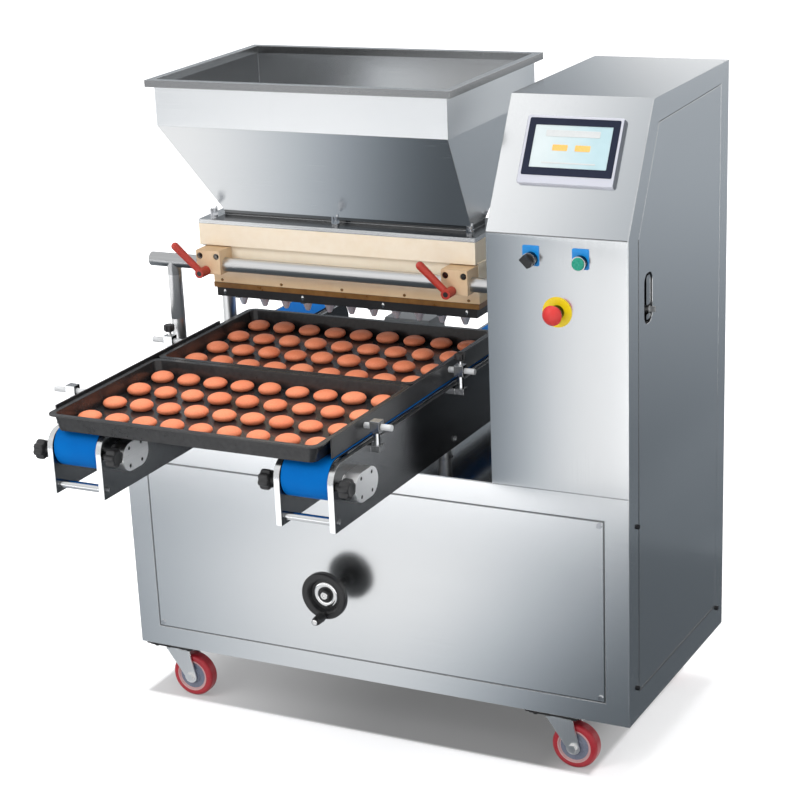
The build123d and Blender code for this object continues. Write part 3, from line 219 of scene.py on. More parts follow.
def make_mottle_group():
    """Fine cast or moulded texture: colour mottling, roughness change and a small bump."""
    tree, inside, place = effect_group("moulded_mottle", [
        ("Scale", FLOAT, 300.0),
        ("Dark", COLOUR, (0.02, 0.02, 0.02, 1)),
        ("Light", COLOUR, (0.04, 0.04, 0.04, 1)),
        ("Smooth", FLOAT, 0.35),
        ("Rough", FLOAT, 0.55),
        ("Bump", FLOAT, 0.1),
        ("Edge", FLOAT, 0.001),
    ])
    fine = add(tree, "ShaderNodeTexNoise", Vector=place, Scale=inside["Scale"], Detail=3.0)
    slow = add(tree, "ShaderNodeTexNoise", Vector=place, Scale=14.0, Detail=2.0)
    finish_effect(tree, inside, fine, slow, slow_share=0.8, reach=(0.6, 1.2),
                  roughness=(inside["Smooth"], inside["Rough"]), Strength=inside["Bump"], Distance=0.0006)
    return tree


GRAIN = make_grain_group()
MOTTLE = make_mottle_group()


def grey(value):
    """An even grey."""
    return (value, value, value)


def cool(value):
    """A grey with the faint blue of stainless steel."""
    return (value * 0.985, value, value * 1.012)


def toned(name, group, values, base, *tones, **shader):
    """A finish in one or more tones: the base all over, each later one where its mask is 1."""
    material, tree, output = new_tree(name)

    def effect(dark, light):
        """Outputs of the shared group in one tone."""
        tone = {"Dark": (*dark, 1), "Light": (*light, 1)}
        return add(tree, "ShaderNodeGroup", node_tree=group, **tone, **values).outputs

    first = effect(*base)
    colour = first["Color"]
    for mask, dark, light in tones:
        colour = mixed(tree, mask(tree), colour, effect(dark, light)["Color"])
    surface = add(tree, "ShaderNodeBsdfPrincipled", Base_Color=colour, Roughness=first["Roughness"],
                  Normal=first["Normal"], **shader)
    tree.links.new(surface.outputs[0], output.inputs["Surface"])
    return material


def brushed(name, stretch, dark, light, smooth, rough, edge=0.0015, tint=cool):
    """Brushed metal with its grain along the smallest of the three stretches."""
    values = {"Stretch": stretch, "Smooth": smooth, "Rough": rough, "Edge": edge}
    return toned(name, GRAIN, values, (tint(dark), tint(light)), Metallic=1.0)


def moulded(name, dark, light, smooth, rough, scale=300.0, bump=0.1, edge=0.001, **shader):
    """Moulded, coated or cast finish in one colour with slight mottling."""
    values = {"Smooth": smooth, "Rough": rough, "Scale": scale, "Bump": bump, "Edge": edge}
    return toned(name, MOTTLE, values, (dark, light), **shader)


UPRIGHT = (700.0, 700.0, 4.0)
ACROSS = (4.0, 700.0, 700.0)
DEPTHWISE = (700.0, 4.0, 700.0)
COAT_TONE = ((0.012, 0.012, 0.013), (0.022, 0.022, 0.024))
DARK_METAL = ((0.02, 0.02, 0.022), (0.03, 0.03, 0.032))

# Brushed: grain, dark and light tone, lowest and highest roughness, then edge radius and tint.
# Moulded: dark and light tone, lowest and highest roughness, then texture scale, bump and edge radius.
steel_across = brushed("steel_level_grain", ACROSS, 0.785, 0.82, 0.18, 0.24)
steel_deck = brushed("steel_deck", DEPTHWISE, 0.5, 0.6, 0.12, 0.2)
steel_frame = brushed("mill_steel", ACROSS, 0.4, 0.5, 0.4, 0.5)
zinc = brushed("zinc_plate", UPRIGHT, 0.8, 0.86, 0.28, 0.36, tint=grey)
chrome = brushed("polished_bar", ACROSS, 0.72, 0.8, 0.1, 0.16, 0.0006, grey)
aluminium = brushed("satin_aluminium", DEPTHWISE, 0.7, 0.8, 0.26, 0.36, 0.001, grey)
dark_plate = moulded("dark_zinc", grey(0.03), grey(0.06), 0.35, 0.5, Metallic=0.6)
seal_brown = moulded("brown_seal", (0.17, 0.075, 0.018), (0.28, 0.14, 0.035), 0.25, 0.4, 60.0, 0.02)
black_coat = moulded("black_coating", *COAT_TONE, 0.28, 0.42, 500.0, 0.05)
tray_coat = moulded("tray_coating", (0.014, 0.014, 0.015), (0.026, 0.026, 0.027), 0.16, 0.26, 120.0, 0.01,
                    0.002)
black_plastic = moulded("black_plastic", (0.013, 0.013, 0.014), (0.024, 0.024, 0.025), 0.36, 0.5, 700.0, 0.1,
                        0.0015)
nozzle_grey = moulded("grey_nozzle", (0.72, 0.8, 0.96), (0.82, 0.9, 1.0), 0.35, 0.5)
stop_red = moulded("red_stop_cap", (0.6, 0.03, 0.025), (0.68, 0.04, 0.035), 0.3, 0.42, 400.0, 0.03)
green_cap = moulded("green_cap", (0.0, 0.26, 0.17), (0.005, 0.32, 0.21), 0.2, 0.32, 400.0, 0.03)
bezel_dark = moulded("panel_glass", (0.01, 0.014, 0.03), (0.014, 0.018, 0.038), 0.38, 0.45, 200.0, 0.0,
                     Specular_IOR_Level=0.2)
motor_paint = moulded("motor_paint", (0.12, 0.13, 0.14), (0.16, 0.17, 0.18), 0.35, 0.5)
batter = moulded("baked_round", (0.76, 0.2, 0.09), (0.9, 0.31, 0.16), 0.45, 0.6, 420.0, 0.25)
screen_orange = moulded("screen_orange", (0.86, 0.46, 0.1), (0.92, 0.53, 0.15), 0.15, 0.25)
screen_grey = moulded("screen_grey", (0.55, 0.57, 0.57), (0.6, 0.62, 0.62), 0.15, 0.25)


def along_axis(tree, axis, kind="Object"):
    """Socket with one part of the place in object coordinates, or of the normal."""
    place = add(tree, "ShaderNodeTexCoord")
    return add(tree, "ShaderNodeSeparateXYZ", Vector=place.outputs[kind]).outputs[axis]


def along_front(tree):
    """Socket that tells, for a floor point, how far along the machine's front it is mirrored to the lens."""
    lens_x = CAMERA_PLACE[0]
    lens_y = 2 * FRONT_Y - CAMERA_PLACE[1]
    sideways_off = reckon(tree, "SUBTRACT", along_axis(tree, "X"), lens_x)
    depth_off = reckon(tree, "SUBTRACT", along_axis(tree, "Y"), lens_y)
    slant = reckon(tree, "DIVIDE", sideways_off, depth_off)
    return reckon(tree, "MULTIPLY_ADD", slant, FRONT_Y - lens_y, lens_x)


# Sideways lean of the slanted fades, per metre from the machine
SLANT_LEAN = 0.2


def along_slant(tree):
    """Socket like along_front that leans over with the distance from the machine."""
    return reckon(tree, "MULTIPLY_ADD", along_axis(tree, "Y"), SLANT_LEAN, along_front(tree))


MIRRORED = {"FRONT": along_front, "SLANT": along_slant}


def fade(tree, axis, start, end, low, high):
    """Socket that runs smoothly from low to high between two places along an axis or along the front."""
    where = MIRRORED[axis](tree) if axis in MIRRORED else along_axis(tree, axis)
    return remap(tree, where, start, end, low, high, "SMOOTHSTEP")


def beyond(axis, level, kind="Object", operation="GREATER_THAN"):
    """Mask that is 1 where one part of the place or of the normal is past a level."""
    def mask(tree):
        return reckon(tree, operation, along_axis(tree, axis, kind), level)
    return mask


def below(axis, level, kind="Object"):
    """Mask that is 1 where one part of the place or of the normal is short of a level."""
    return beyond(axis, level, kind, "LESS_THAN")


def facing(axis, way, share=0.6):
    """Mask that is 1 where the surface faces up an axis (way 1) or down it (way -1)."""
    if way > 0:
        return beyond(axis, share, "Normal")
    return below(axis, -share, "Normal")


def ramp(axis, start, end):
    """Mask that rises from 0 to 1 between two places along an axis."""
    def mask(tree):
        return fade(tree, axis, start, end, 0.0, 1.0)
    return mask


def joined(operation, masks):
    """Masks put together in one by a Math operation."""
    def mask(tree):
        total = masks[0](tree)
        for other in masks[1:]:
            total = reckon(tree, operation, total, other(tree))
        return total
    return mask


def all_of(*masks):
    """Mask that is 1 where every one of the masks is."""
    return joined("MULTIPLY", masks)


def any_of(*masks):
    """Mask that is 1 where at least one of the masks is."""
    return joined("MAXIMUM", masks)


def between(axis, low, high):
    """Mask that is 1 between two levels along an axis."""
    return all_of(beyond(axis, low), below(axis, high))


def out_from(axle, radius):
    """Mask that is 1 beyond a radius from an axle along Y."""
    def mask(tree):
        place = add(tree, "ShaderNodeTexCoord")
        centre = add(tree, "ShaderNodeMapping", Vector=place.outputs["Object"],
                     Location=(-axle.x, 0, -axle.z), Scale=(1, 0, 1))
        reach = add(tree, "ShaderNodeVectorMath", operation="LENGTH", Vector=centre.outputs[0])
        return reckon(tree, "GREATER_THAN", reach.outputs["Value"], radius)
    return mask


STEEP = 0.7
sideways = any_of(facing("X", 1, STEEP), facing("X", -1, STEEP))

# Places between which painted shade runs from one tone to the next on some finishes, in metres
UPPER_CREAM_X = (-0.2, -0.42)
LOWER_CREAM_Z = (0.985, 0.955)
SCREEN_X = (0.37, 0.5)
PLATE_Y = (-0.46, -0.16)
HOPPER_BACK_X = (-0.25, 0.1)

CREAM_SURFACE = {"Smooth": 0.3, "Rough": 0.42, "Bump": 0.01, "Scale": 60.0, "Edge": 0.0015}
# Upper block: painted shade, darker towards its left end
upper_cream = toned(
    "upper_cream", MOTTLE, CREAM_SURFACE, ((0.92, 0.8, 0.62), (0.95, 0.85, 0.69)),
    (ramp("X", *UPPER_CREAM_X), (0.84, 0.73, 0.56), (0.87, 0.77, 0.62)))
# Piston block: painted shade under the rail, darker and more orange towards its foot
lower_cream = toned(
    "lower_cream", MOTTLE, CREAM_SURFACE, ((0.95, 0.84, 0.66), (0.98, 0.89, 0.73)),
    (ramp("Z", *LOWER_CREAM_Z), (0.84, 0.63, 0.38), (0.89, 0.69, 0.44)))
# Clamp blocks: their top faces are painted darker as shade
clamp_tan = toned(
    "tan_polymer", MOTTLE, CREAM_SURFACE, ((0.7, 0.51, 0.31), (0.76, 0.57, 0.37)),
    (facing("Z", 1), (0.55, 0.36, 0.19), (0.61, 0.41, 0.23)))

SCREEN_SURFACE = {"Smooth": 0.1, "Rough": 0.16, "Bump": 0.0, "Scale": 40.0}
# Screen: painted shading, pale at the left and darker and bluer towards the right
screen_pale = toned(
    "screen_glass", MOTTLE, SCREEN_SURFACE, ((0.57, 0.64, 0.65), (0.6, 0.67, 0.68)),
    (ramp("X", *SCREEN_X), (0.42, 0.58, 0.62), (0.46, 0.62, 0.66)))
FRAME_SURFACE = {"Stretch": ACROSS, "Smooth": 0.4, "Rough": 0.46, "Edge": 0.0002}
# Panel frame: the faces that look to the right are painted dark as shade
bezel_silver = toned(
    "panel_frame", GRAIN, FRAME_SURFACE, ((0.52, 0.53, 0.59), (0.55, 0.56, 0.62)),
    (facing("X", 1), (0.11, 0.125, 0.15), (0.14, 0.155, 0.18)), Metallic=0.3)

# Painted shade on the rails' open ends left of the head; the posts under them keep the rails' own tone
STUB_RIGHT = -0.42
STUB_LOW = 0.968
RAIL_SURFACE = {"Stretch": ACROSS, "Smooth": 0.26, "Rough": 0.34, "Edge": 0.0006}
rail_end_shade = all_of(below("X", STUB_RIGHT), beyond("Z", STUB_LOW))
satin_bar = toned(
    "satin_bar", GRAIN, RAIL_SURFACE, (grey(0.62), grey(0.7)),
    (rail_end_shade, cool(0.4), cool(0.48)), Metallic=1.0)

# Half the width of the painted shade line along a seam, and the places of the side door's edges
SEAM = 2.5 * MM
DOOR_FRONT = 9 * MM
DOOR_BACK = 479 * MM
DOOR_FOOT = 192 * MM
DOOR_CREASE = 1127 * MM


def band(axis, level):
    """Mask that is 1 in a narrow band to both sides of a level along an axis."""
    return between(axis, level - SEAM, level + SEAM)


# Painted shade in narrow bands along the side door's foot and front seam
door_foot_shade = all_of(band("Z", DOOR_FOOT), between("Y", DOOR_FRONT, DOOR_BACK))
door_front_shade = all_of(band("Y", DOOR_FRONT), between("Z", DOOR_FOOT, DOOR_CREASE))
# Painted shade in a narrow band along the column's crease
crease_shade = between("Z", COLUMN_CREASE - 1 * MM, COLUMN_CREASE + 1.5 * MM)
SHEET_SURFACE = {"Stretch": UPRIGHT, "Smooth": 0.15, "Rough": 0.21, "Edge": 0.0015}
SHEET_TONE = (cool(0.785), cool(0.82))
SEAM_SHADE_TONE = (cool(0.26), cool(0.32))
steel_side = toned(
    "steel_side", GRAIN, SHEET_SURFACE, SHEET_TONE, (any_of(door_foot_shade, door_front_shade), *SEAM_SHADE_TONE), Metallic=1.0)
steel_column = toned(
    "steel_column", GRAIN, SHEET_SURFACE, SHEET_TONE, (crease_shade, *SEAM_SHADE_TONE), Metallic=1.0)

panel_ends = (lowest("front_panel"), highest("front_panel"))
# Painted shade in narrow bands along the front panel's edges
panel_edge_shade = any_of(*[band("X", end.x) for end in panel_ends], *[band("Z", end.z) for end in panel_ends])
PANEL_SURFACE = {"Stretch": ACROSS, "Smooth": 0.18, "Rough": 0.24, "Edge": 0.0015}
steel_panel = toned(
    "steel_panel", GRAIN, PANEL_SURFACE, SHEET_TONE, (panel_edge_shade, *SEAM_SHADE_TONE), Metallic=1.0)

# The blue legend plates are all above this height, the yellow disc below it
LEGEND_SPLIT = 1.05
LEGEND_SURFACE = {"Smooth": 0.3, "Rough": 0.4, "Bump": 0.03}
legends = toned(
    "legend_plastic", MOTTLE, LEGEND_SURFACE, ((0.9, 0.66, 0.0), (0.95, 0.74, 0.015)),
    (beyond("Z", LEGEND_SPLIT), (0.0, 0.24, 0.68), (0.005, 0.29, 0.76)))

WHEEL_SURFACE = {"Smooth": 0.28, "Rough": 0.4, "Bump": 0.04, "Scale": 400.0, "Edge": 0.0015}
RING_RADIUS = 31 * MM
TYRE_RADIUS = 37 * MM


def wheel_finish(node):
    """Grey hub, pale ring and red tyre, shared out by the distance from this wheel's axle."""
    axle = middle(node)
    return toned(
        f"{node}_finish", MOTTLE, WHEEL_SURFACE, ((0.12, 0.14, 0.2), (0.2, 0.22, 0.28)),
        (out_from(axle, RING_RADIUS), (0.5, 0.3, 0.3), (0.58, 0.36, 0.36)),
        (out_from(axle, TYRE_RADIUS), (0.34, 0.014, 0.024), (0.43, 0.022, 0.034)))


PLATE_SURFACE = {"Stretch": DEPTHWISE, "Smooth": 0.18, "Rough": 0.26, "Edge": 0.001}
# Conveyor side plates: sideways faces are painted dark as shade, darkest towards the back
plate_metal = toned(
    "conveyor_plate", GRAIN, PLATE_SURFACE, ((0.6, 0.61, 0.62), (0.66, 0.67, 0.68)),
    (sideways, (0.11, 0.115, 0.12), (0.14, 0.145, 0.15)),
    (all_of(sideways, ramp("Y", *PLATE_Y)), (0.02, 0.022, 0.025), (0.03, 0.032, 0.036)), Metallic=1.0)

# Heights and places that bound the hopper's painted shade and highlights
RIM_LOW = 1390 * MM
NECK_TOP = 1098 * MM
FLANGE_TOP = 1088.5 * MM
NECK_LEFT = -404 * MM
LEVEL_FACE = 0.5
hopper_middle = middle("hopper")
inner_side_shade = any_of(
    all_of(facing("X", 1), below("X", hopper_middle.x)),
    all_of(facing("X", -1), beyond("X", hopper_middle.x)))
inner_back = all_of(facing("Y", -1), beyond("Y", hopper_middle.y))
not_upward = below("Z", LEVEL_FACE, "Normal")
hopper_neck = below("Z", NECK_TOP)
HOPPER_SURFACE = {"Stretch": ACROSS, "Smooth": 0.2, "Rough": 0.28, "Edge": 0.0015}
# Hopper painted shade and highlights: dark inner sides, a paler back wall darkening to the right, dark rim
# faces that don't face up, a dark neck band with a pale left end, and darker faces below the flange top that
# don't face up
steel_hopper = toned(
    "steel_hopper", GRAIN, HOPPER_SURFACE, (cool(0.79), cool(0.82)),
    (inner_side_shade, cool(0.11), cool(0.14)),
    (inner_back, (0.84, 0.87, 0.9), (0.89, 0.92, 0.95)),
    (all_of(inner_back, ramp("X", *HOPPER_BACK_X)), cool(0.44), cool(0.5)),
    (all_of(beyond("Z", RIM_LOW), not_upward), cool(0.27), cool(0.32)),
    (hopper_neck, cool(0.16), cool(0.2)),
    (all_of(hopper_neck, below("X", NECK_LEFT)), cool(0.7), cool(0.75)),
    (all_of(below("Z", FLANGE_TOP), not_upward), cool(0.5), cool(0.56)), Metallic=1.0)

BELT_SURFACE = {"Smooth": 0.55, "Rough": 0.7, "Bump": 0.1, "Scale": 900.0}
# Belts: side faces are painted dark as shade
belt_blue = toned(
    "blue_belt", MOTTLE, BELT_SURFACE, ((0.0, 0.105, 0.4), (0.0, 0.14, 0.47)),
    (sideways, (0.01, 0.012, 0.02), (0.014, 0.018, 0.03)), Specular_IOR_Level=0.06)

ROD_ENDS = {"left": below("X", -431.5 * MM), "right": beyond("X", 181.5 * MM)}
COAT_SURFACE = {"Smooth": 0.28, "Rough": 0.4, "Bump": 0.03, "Scale": 500.0}
guide_finishes = {
    f"{side}_guide": toned(
        f"{side}_guide_finish", MOTTLE, COAT_SURFACE, COAT_TONE,
        (mask, (0.55, 0.56, 0.57), (0.65, 0.66, 0.67)))
    for side, mask in ROD_ENDS.items()
}

BEZEL_SURFACE = {"Stretch": UPRIGHT, "Smooth": 0.12, "Rough": 0.2, "Edge": 0.0005}
# Button rings: bright on their fronts, their other faces painted dark as shade
button_ring = toned(
    "button_ring", GRAIN, BEZEL_SURFACE, DARK_METAL,
    (facing("Y", -1), (0.74, 0.75, 0.76), (0.8, 0.81, 0.82)), Metallic=1.0)
# Pull bar: grey on its outer face, its other faces painted dark as shade
bar_metal = toned(
    "pull_bar_metal", GRAIN, BEZEL_SURFACE, DARK_METAL, (facing("X", 1), cool(0.5), cool(0.58)), Metallic=1.0)

LEVER_SURFACE = {"Smooth": 0.3, "Rough": 0.42, "Bump": 0.04, "Scale": 400.0}
LEVER_SCREW_RADIUS = 5.5 * MM
LEVER_SCREWS = {
    "lever_left": Vector((-400 * MM, 0, 988 * MM)),
    "lever_right": Vector((174 * MM, 0, 988 * MM)),
}
lever_finishes = {
    node: toned(
        f"{node}_finish", MOTTLE, LEVER_SURFACE, ((0.015, 0.012, 0.012), (0.025, 0.02, 0.02)),
        (out_from(axle, LEVER_SCREW_RADIUS), (0.4, 0.03, 0.018), (0.48, 0.045, 0.028)))
    for node, axle in LEVER_SCREWS.items()
}

# Heights between which the clamp bolts lie, whose colour is darkened as painted shade of their sunk sockets
CLAMP_BOLTS = (1.005, 1.033)
FASTENER_SURFACE = {"Stretch": UPRIGHT, "Smooth": 0.16, "Rough": 0.26, "Edge": 0.0005}
fastener_metal = toned(
    "fastener_metal", GRAIN, FASTENER_SURFACE, ((0.55, 0.56, 0.58), (0.65, 0.66, 0.68)),
    (beyond("X", RIGHT_X - 1 * MM), *DARK_METAL),
    (between("Z", *CLAMP_BOLTS), (0.1, 0.09, 0.08), (0.16, 0.15, 0.14)), Metallic=1.0)

finishes = {
    steel_side: ["right_side", "side_door"],
    steel_column: ["column_shell"],
    steel_across: ["base_shell"],
    steel_panel: ["front_panel"],
    steel_deck: ["deck_plate"],
    steel_hopper: ["hopper"],
    steel_frame: ["base_frame", "lift_carriage", "lead_screw", "lock_handle"],
    zinc: [node for node in nodes if node.startswith("caster_fork")],
    chrome: ["valve_shaft", "piston_set", "pinion_shaft", "drive_shaft", "nose_rollers"],
    button_ring: ["button_bezels"],
    satin_bar: ["head_rails"],
    fastener_metal: ["fasteners"],
    plate_metal: ["conveyor_frames"],
    aluminium: ["bearing_housings", "pinion_brackets"],
    dark_plate: ["caster_plates", "electrical_plate"],
    upper_cream: ["upper_block"],
    lower_cream: ["piston_block"],
    clamp_tan: ["clamp_blocks"],
    seal_brown: ["seal_strip"],
    black_coat: ["nozzle_plate"],
    tray_coat: ["front_tray", "rear_tray"],
    black_plastic: ["handwheel", "handwheel_grip", "left_nose_knobs", "right_nose_knobs", "left_guide_knob",
                    "right_guide_knob", "selector_knob"],
    nozzle_grey: ["nozzles"],
    belt_blue: ["belts"],
    stop_red: ["estop_head"],
    green_cap: ["start_button"],
    bezel_silver: ["hmi_bezel"],
    screen_pale: ["hmi_screen"],
    legends: ["legend_plates"],
    motor_paint: ["conveyor_motor", "head_motors", "lift_gearbox"],
}
own_finishes = {node: wheel_finish(node) for node in nodes if node.startswith("caster_wheel")}
own_finishes.update(guide_finishes)
own_finishes.update(lever_finishes)
finishes.update({finish: [node] for node, finish in own_finishes.items()})
for finish, names in finishes.items():
    for name in names:
        mesh = nodes[name].data
        mesh.materials.clear()
        mesh.materials.append(finish)


WHITE = (1, 1, 1, 1)
BLACK = (0, 0, 0, 1)
WORLD_LIGHT = 0.5
FLOOR_TONE = (0.86, 0.86, 0.87, 1)
FLOOR_GLOW = 0.45
FLOOR_GLOW_REACH = (1.5, 4.0)
FLOOR_REACH = 14.0
CARD_BLUE = (0.84, 0.98, 1.12, 1)


def backdrop_share(tree):
    """Socket that is 1 for rays that show the backdrop: camera, mirror and glass rays."""
    path = tree.nodes.new("ShaderNodeLightPath")
    total = path.outputs["Is Camera Ray"]
    for kind in ("Is Glossy Ray", "Is Transmission Ray"):
        total = reckon(tree, "ADD", total, path.outputs[kind], use_clamp=True)
    return total


def white_world():
    """A world that looks white and lights the object at a plain level."""
    world = bpy.data.worlds.new("studio")
    bpy.context.scene.world = world
    world.use_nodes = True
    tree = world.node_tree
    tree.nodes.clear()
    strength = remap(tree, backdrop_share(tree), 0.0, 1.0, WORLD_LIGHT, 1.0)
    background = add(tree, "ShaderNodeBackground", Color=WHITE, Strength=strength)
    add(tree, "ShaderNodeOutputWorld", Surface=background.outputs[0])


def flat_sheet(name, corners, material):
    """A flat four-cornered sheet of the studio, which isn't part of the object."""
    mesh = bpy.data.meshes.new(name)
    mesh.from_pydata(corners, [], [(0, 1, 2, 3)])
    mesh.materials.append(material)
    sheet = bpy.data.objects.new(name, mesh)
    bpy.context.scene.collection.objects.link(sheet)
    return sheet


def floor_corners(x0, x1, y0, y1, z=0.004):
    """Corners of a level sheet, just over the floor unless a height is given."""
    return [(x0, y0, z), (x1, y0, z), (x1, y1, z), (x0, y1, z)]


# Painted shadow under the machine: its sides, its soft edge, and two fades that add up to its brightness
FOOTPRINT_X = (-0.6, 0.49)
FOOTPRINT_Y = (-0.034, 0.54)
FOOTPRINT_EDGE = (-0.012, 0.006)
FOOTPRINT_FADES = (("X", FOOTPRINT_X[0], 0.0, 0.56, 0.25), ("X", 0.36, FOOTPRINT_X[1], 0.0, 0.3))


def footprint_shade(tree):
    """Socket with the floor's brightness: a painted shadow with clear edges under the machine, 1 elsewhere.
    """
    outside = []
    for axis, (low, high) in (("X", FOOTPRINT_X), ("Y", FOOTPRINT_Y)):
        from_middle = reckon(tree, "SUBTRACT", along_axis(tree, axis), (low + high) / 2)
        distance = reckon(tree, "ABSOLUTE", from_middle)
        outside.append(reckon(tree, "SUBTRACT", distance, (high - low) / 2))
    under = reckon(tree, "ADD", *[fade(tree, *settings) for settings in FOOTPRINT_FADES])
    return remap(tree, reckon(tree, "MAXIMUM", *outside), *FOOTPRINT_EDGE, under, 1.0, "SMOOTHSTEP")


def studio_floor():
    """White floor that takes the object's shadow and has a painted shadow under the machine."""
    material, tree, output = new_tree("studio_floor")
    shade = footprint_shade(tree)
    surface = add(tree, "ShaderNodeBsdfDiffuse", Color=mixed(tree, shade, BLACK, FLOOR_TONE))
    place = add(tree, "ShaderNodeTexCoord")
    away = add(tree, "ShaderNodeVectorMath", operation="LENGTH", Vector=place.outputs["Object"])
    far_glow = remap(tree, away.outputs["Value"], *FLOOR_GLOW_REACH, FLOOR_GLOW, 1.0)
    glow = add(tree, "ShaderNodeEmission", Color=WHITE, Strength=reckon(tree, "MULTIPLY", far_glow, shade))
    both = tree.nodes.new("ShaderNodeAddShader")
    for shader, socket in zip((surface, glow), both.inputs):
        tree.links.new(shader.outputs[0], socket)
    shown = chosen(tree, backdrop_share(tree), surface.outputs[0], both.outputs[0])
    tree.links.new(shown, output.inputs["Surface"])
    corners = floor_corners(-FLOOR_REACH, FLOOR_REACH, -FLOOR_REACH, FLOOR_REACH, 0)
    flat_sheet("studio_floor", corners, material)


def reflection_card(name, corners, first, *more):
    """A card that only mirror rays see, from its front: shaded by fades and bluer where it is dark."""
    material, tree, output = new_tree(name)
    total = fade(tree, *first)
    for settings in more:
        total = reckon(tree, "MULTIPLY", total, fade(tree, *settings))
    glow = add(tree, "ShaderNodeEmission", Color=mixed(tree, total, CARD_BLUE, WHITE), Strength=total)
    side = tree.nodes.new("ShaderNodeNewGeometry")
    clear = tree.nodes.new("ShaderNodeBsdfTransparent")
    shown = chosen(tree, side.outputs["Backfacing"], glow.outputs[0], clear.outputs[0])
    tree.links.new(shown, output.inputs["Surface"])
    card = flat_sheet(name, corners, material)
    card.visible_camera = False
    card.visible_diffuse = False
    card.visible_shadow = False
    card.visible_transmission = False


def soft_lamp(name, place, aim, size, watts):
    """A square area lamp that looks at a point."""
    data = bpy.data.lights.new(name, "AREA")
    data.size = size
    data.energy = watts
    lamp = bpy.data.objects.new(name, data)
    bpy.context.scene.collection.objects.link(lamp)
    turn = (Vector(aim) - Vector(place)).to_track_quat("-Z", "Y").to_matrix().to_4x4()
    lamp.matrix_world = Matrix.Translation(place) @ turn
    lamp.visible_glossy = False


def build_studio():
    """White floor and world, soft lamps, and grey cards that only reflections see.

    Each fade of a card is its axis, where it starts and ends, and the brightness at both.
    """
    bpy.context.scene.view_settings.view_transform = "Standard"
    white_world()
    studio_floor()
    soft_lamp("key_lamp", (-2.0, -3.0, 4.0), (0, 0, 0.7), 3.0, 110)
    soft_lamp("fill_lamp", (3.4, -2.2, 2.6), (0, 0, 0.7), 2.4, 30)
    soft_lamp("low_lamp", (-0.6, -2.8, 0.9), (-0.1, 0, 0.95), 1.6, 12)
    soft_lamp("top_lamp", (0.2, 0.6, 4.2), (0, 0.1, 0), 2.2, 90)
    reflection_card("base_card", floor_corners(-3.5, 1.6, -1.56, -0.06),
                    ("Y", -0.2, -0.85, 0.75, 0.98), ("Y", -0.85, -1.4, 1.0, 0.86),
                    ("SLANT", -0.86, -0.2, 0.42, 1.0), ("SLANT", 0.49, -0.09, 0.19, 1.0))
    column_card = [(0.27, -0.05, 1.135), (0.27, -0.95, 0.89), (0.27, -0.95, 0.26), (0.27, -0.05, 0.622)]
    reflection_card("column_card", column_card, ("FRONT", 0.26, 0.52, 0.28, 0.96))
    reflection_card("collar_card", floor_corners(-8, 1.6, -12, -4.7),
                    ("FRONT", -0.5, -0.15, 0.4, 1.05), ("FRONT", 0.25, -0.05, 0.5, 1.0))
    reflection_card("left_card", floor_corners(-5, -0.64, -0.04, 6), ("X", -0.64, -3.0, 0.3, 0.95))
    reflection_card("side_card", floor_corners(0.62, 6, -1, 10), ("Y", 0.3, 6.0, 0.112, 0.42))
    reflection_card("back_card", [(-7, 5.5, 0.02), (0.4, 5.5, 0.02), (0.4, 5.5, 3.6), (-7, 5.5, 3.6)],
                    ("X", -2.0, -1.1, 0.47, 1.05), ("Z", 2.26, 2.42, 1.2, 0.42))
    reflection_card("rear_card", floor_corners(-2, 1.2, 1.2, 4.5), ("Y", 1.2, 4.5, 0.3, 0.5))
    reflection_card("incline_card", [(1, -5, 4.4), (-5, -5, 4.4), (-5, -5, 9), (1, -5, 9)],
                    ("X", -3.0, -1.9, 1.3, 0.44))
    reflection_card("taper_card", floor_corners(-0.9, 0.2, -0.15, 0.14, 1.092), ("X", -0.55, 0.14, 1.0, 0.1))
    reflection_card("tray_card", floor_corners(-0.6, 0.25, -0.6, 0.3, 0.87), ("X", -0.6, 0.3, 0.1, 0.06))


aim_camera()
build_studio()


def finished(name, mesh, body):
    """Link a mesh at the origin as a piece that rides on a body, with the finish its mesh already has."""
    piece = bpy.data.objects.new(name, mesh)
    bpy.context.scene.collection.objects.link(piece)
    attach(piece, body)
    return piece


# Angles in radians from which edges stay crisp
PIECE_CRISP = 0.6
ROUND_CRISP = 0.9
STUD_CRISP = 1.2


def smooth(mesh, angle):
    """Smooth shading, with edges sharper than the angle kept crisp."""
    mesh.shade_smooth()
    mesh.set_sharp_from_angle(angle=angle)


def shaped(name, shape, body, finish):
    """Turn a bmesh into a smooth piece whose faces point outwards."""
    bmesh.ops.recalc_face_normals(shape, faces=shape.faces)
    mesh = bpy.data.meshes.new(name)
    shape.to_mesh(mesh)
    shape.free()
    smooth(mesh, PIECE_CRISP)
    mesh.materials.append(finish)
    return finished(name, mesh, body)


def axis_turn(origin, axis):
    """Matrix that stands local +Z along an axis at a place."""
    turn = Vector((0, 0, 1)).rotation_difference(Vector(axis).normalized()).to_matrix().to_4x4()
    return Matrix.Translation(origin) @ turn


def skin(shape, rings, steps):
    """Faces between neighbouring rings of vertices, where a ring may be a single point."""
    for low, high in zip(rings, rings[1:]):
        for i in range(steps):
            j = i + 1
            corners = [low[i % len(low)], low[j % len(low)], high[j % len(high)], high[i % len(high)]]
            unique = list(dict.fromkeys(corners))
            if len(unique) > 2:
                shape.faces.new(unique)


def lathe(shape, origin, axis, profile, steps):
    """Turn a profile of (radius, height) points about an axis into closed rings; radius 0 closes an end."""
    place = axis_turn(origin, axis)
    angles = [2 * pi * i / steps for i in range(steps)]
    rings = []
    for radius, height in profile:
        spots = [(0, 0, height)]
        if radius > 0:
            spots = [(radius * cos(a), radius * sin(a), height) for a in angles]
        rings.append([shape.verts.new(place @ Vector(spot)) for spot in spots])
    skin(shape, rings, steps)


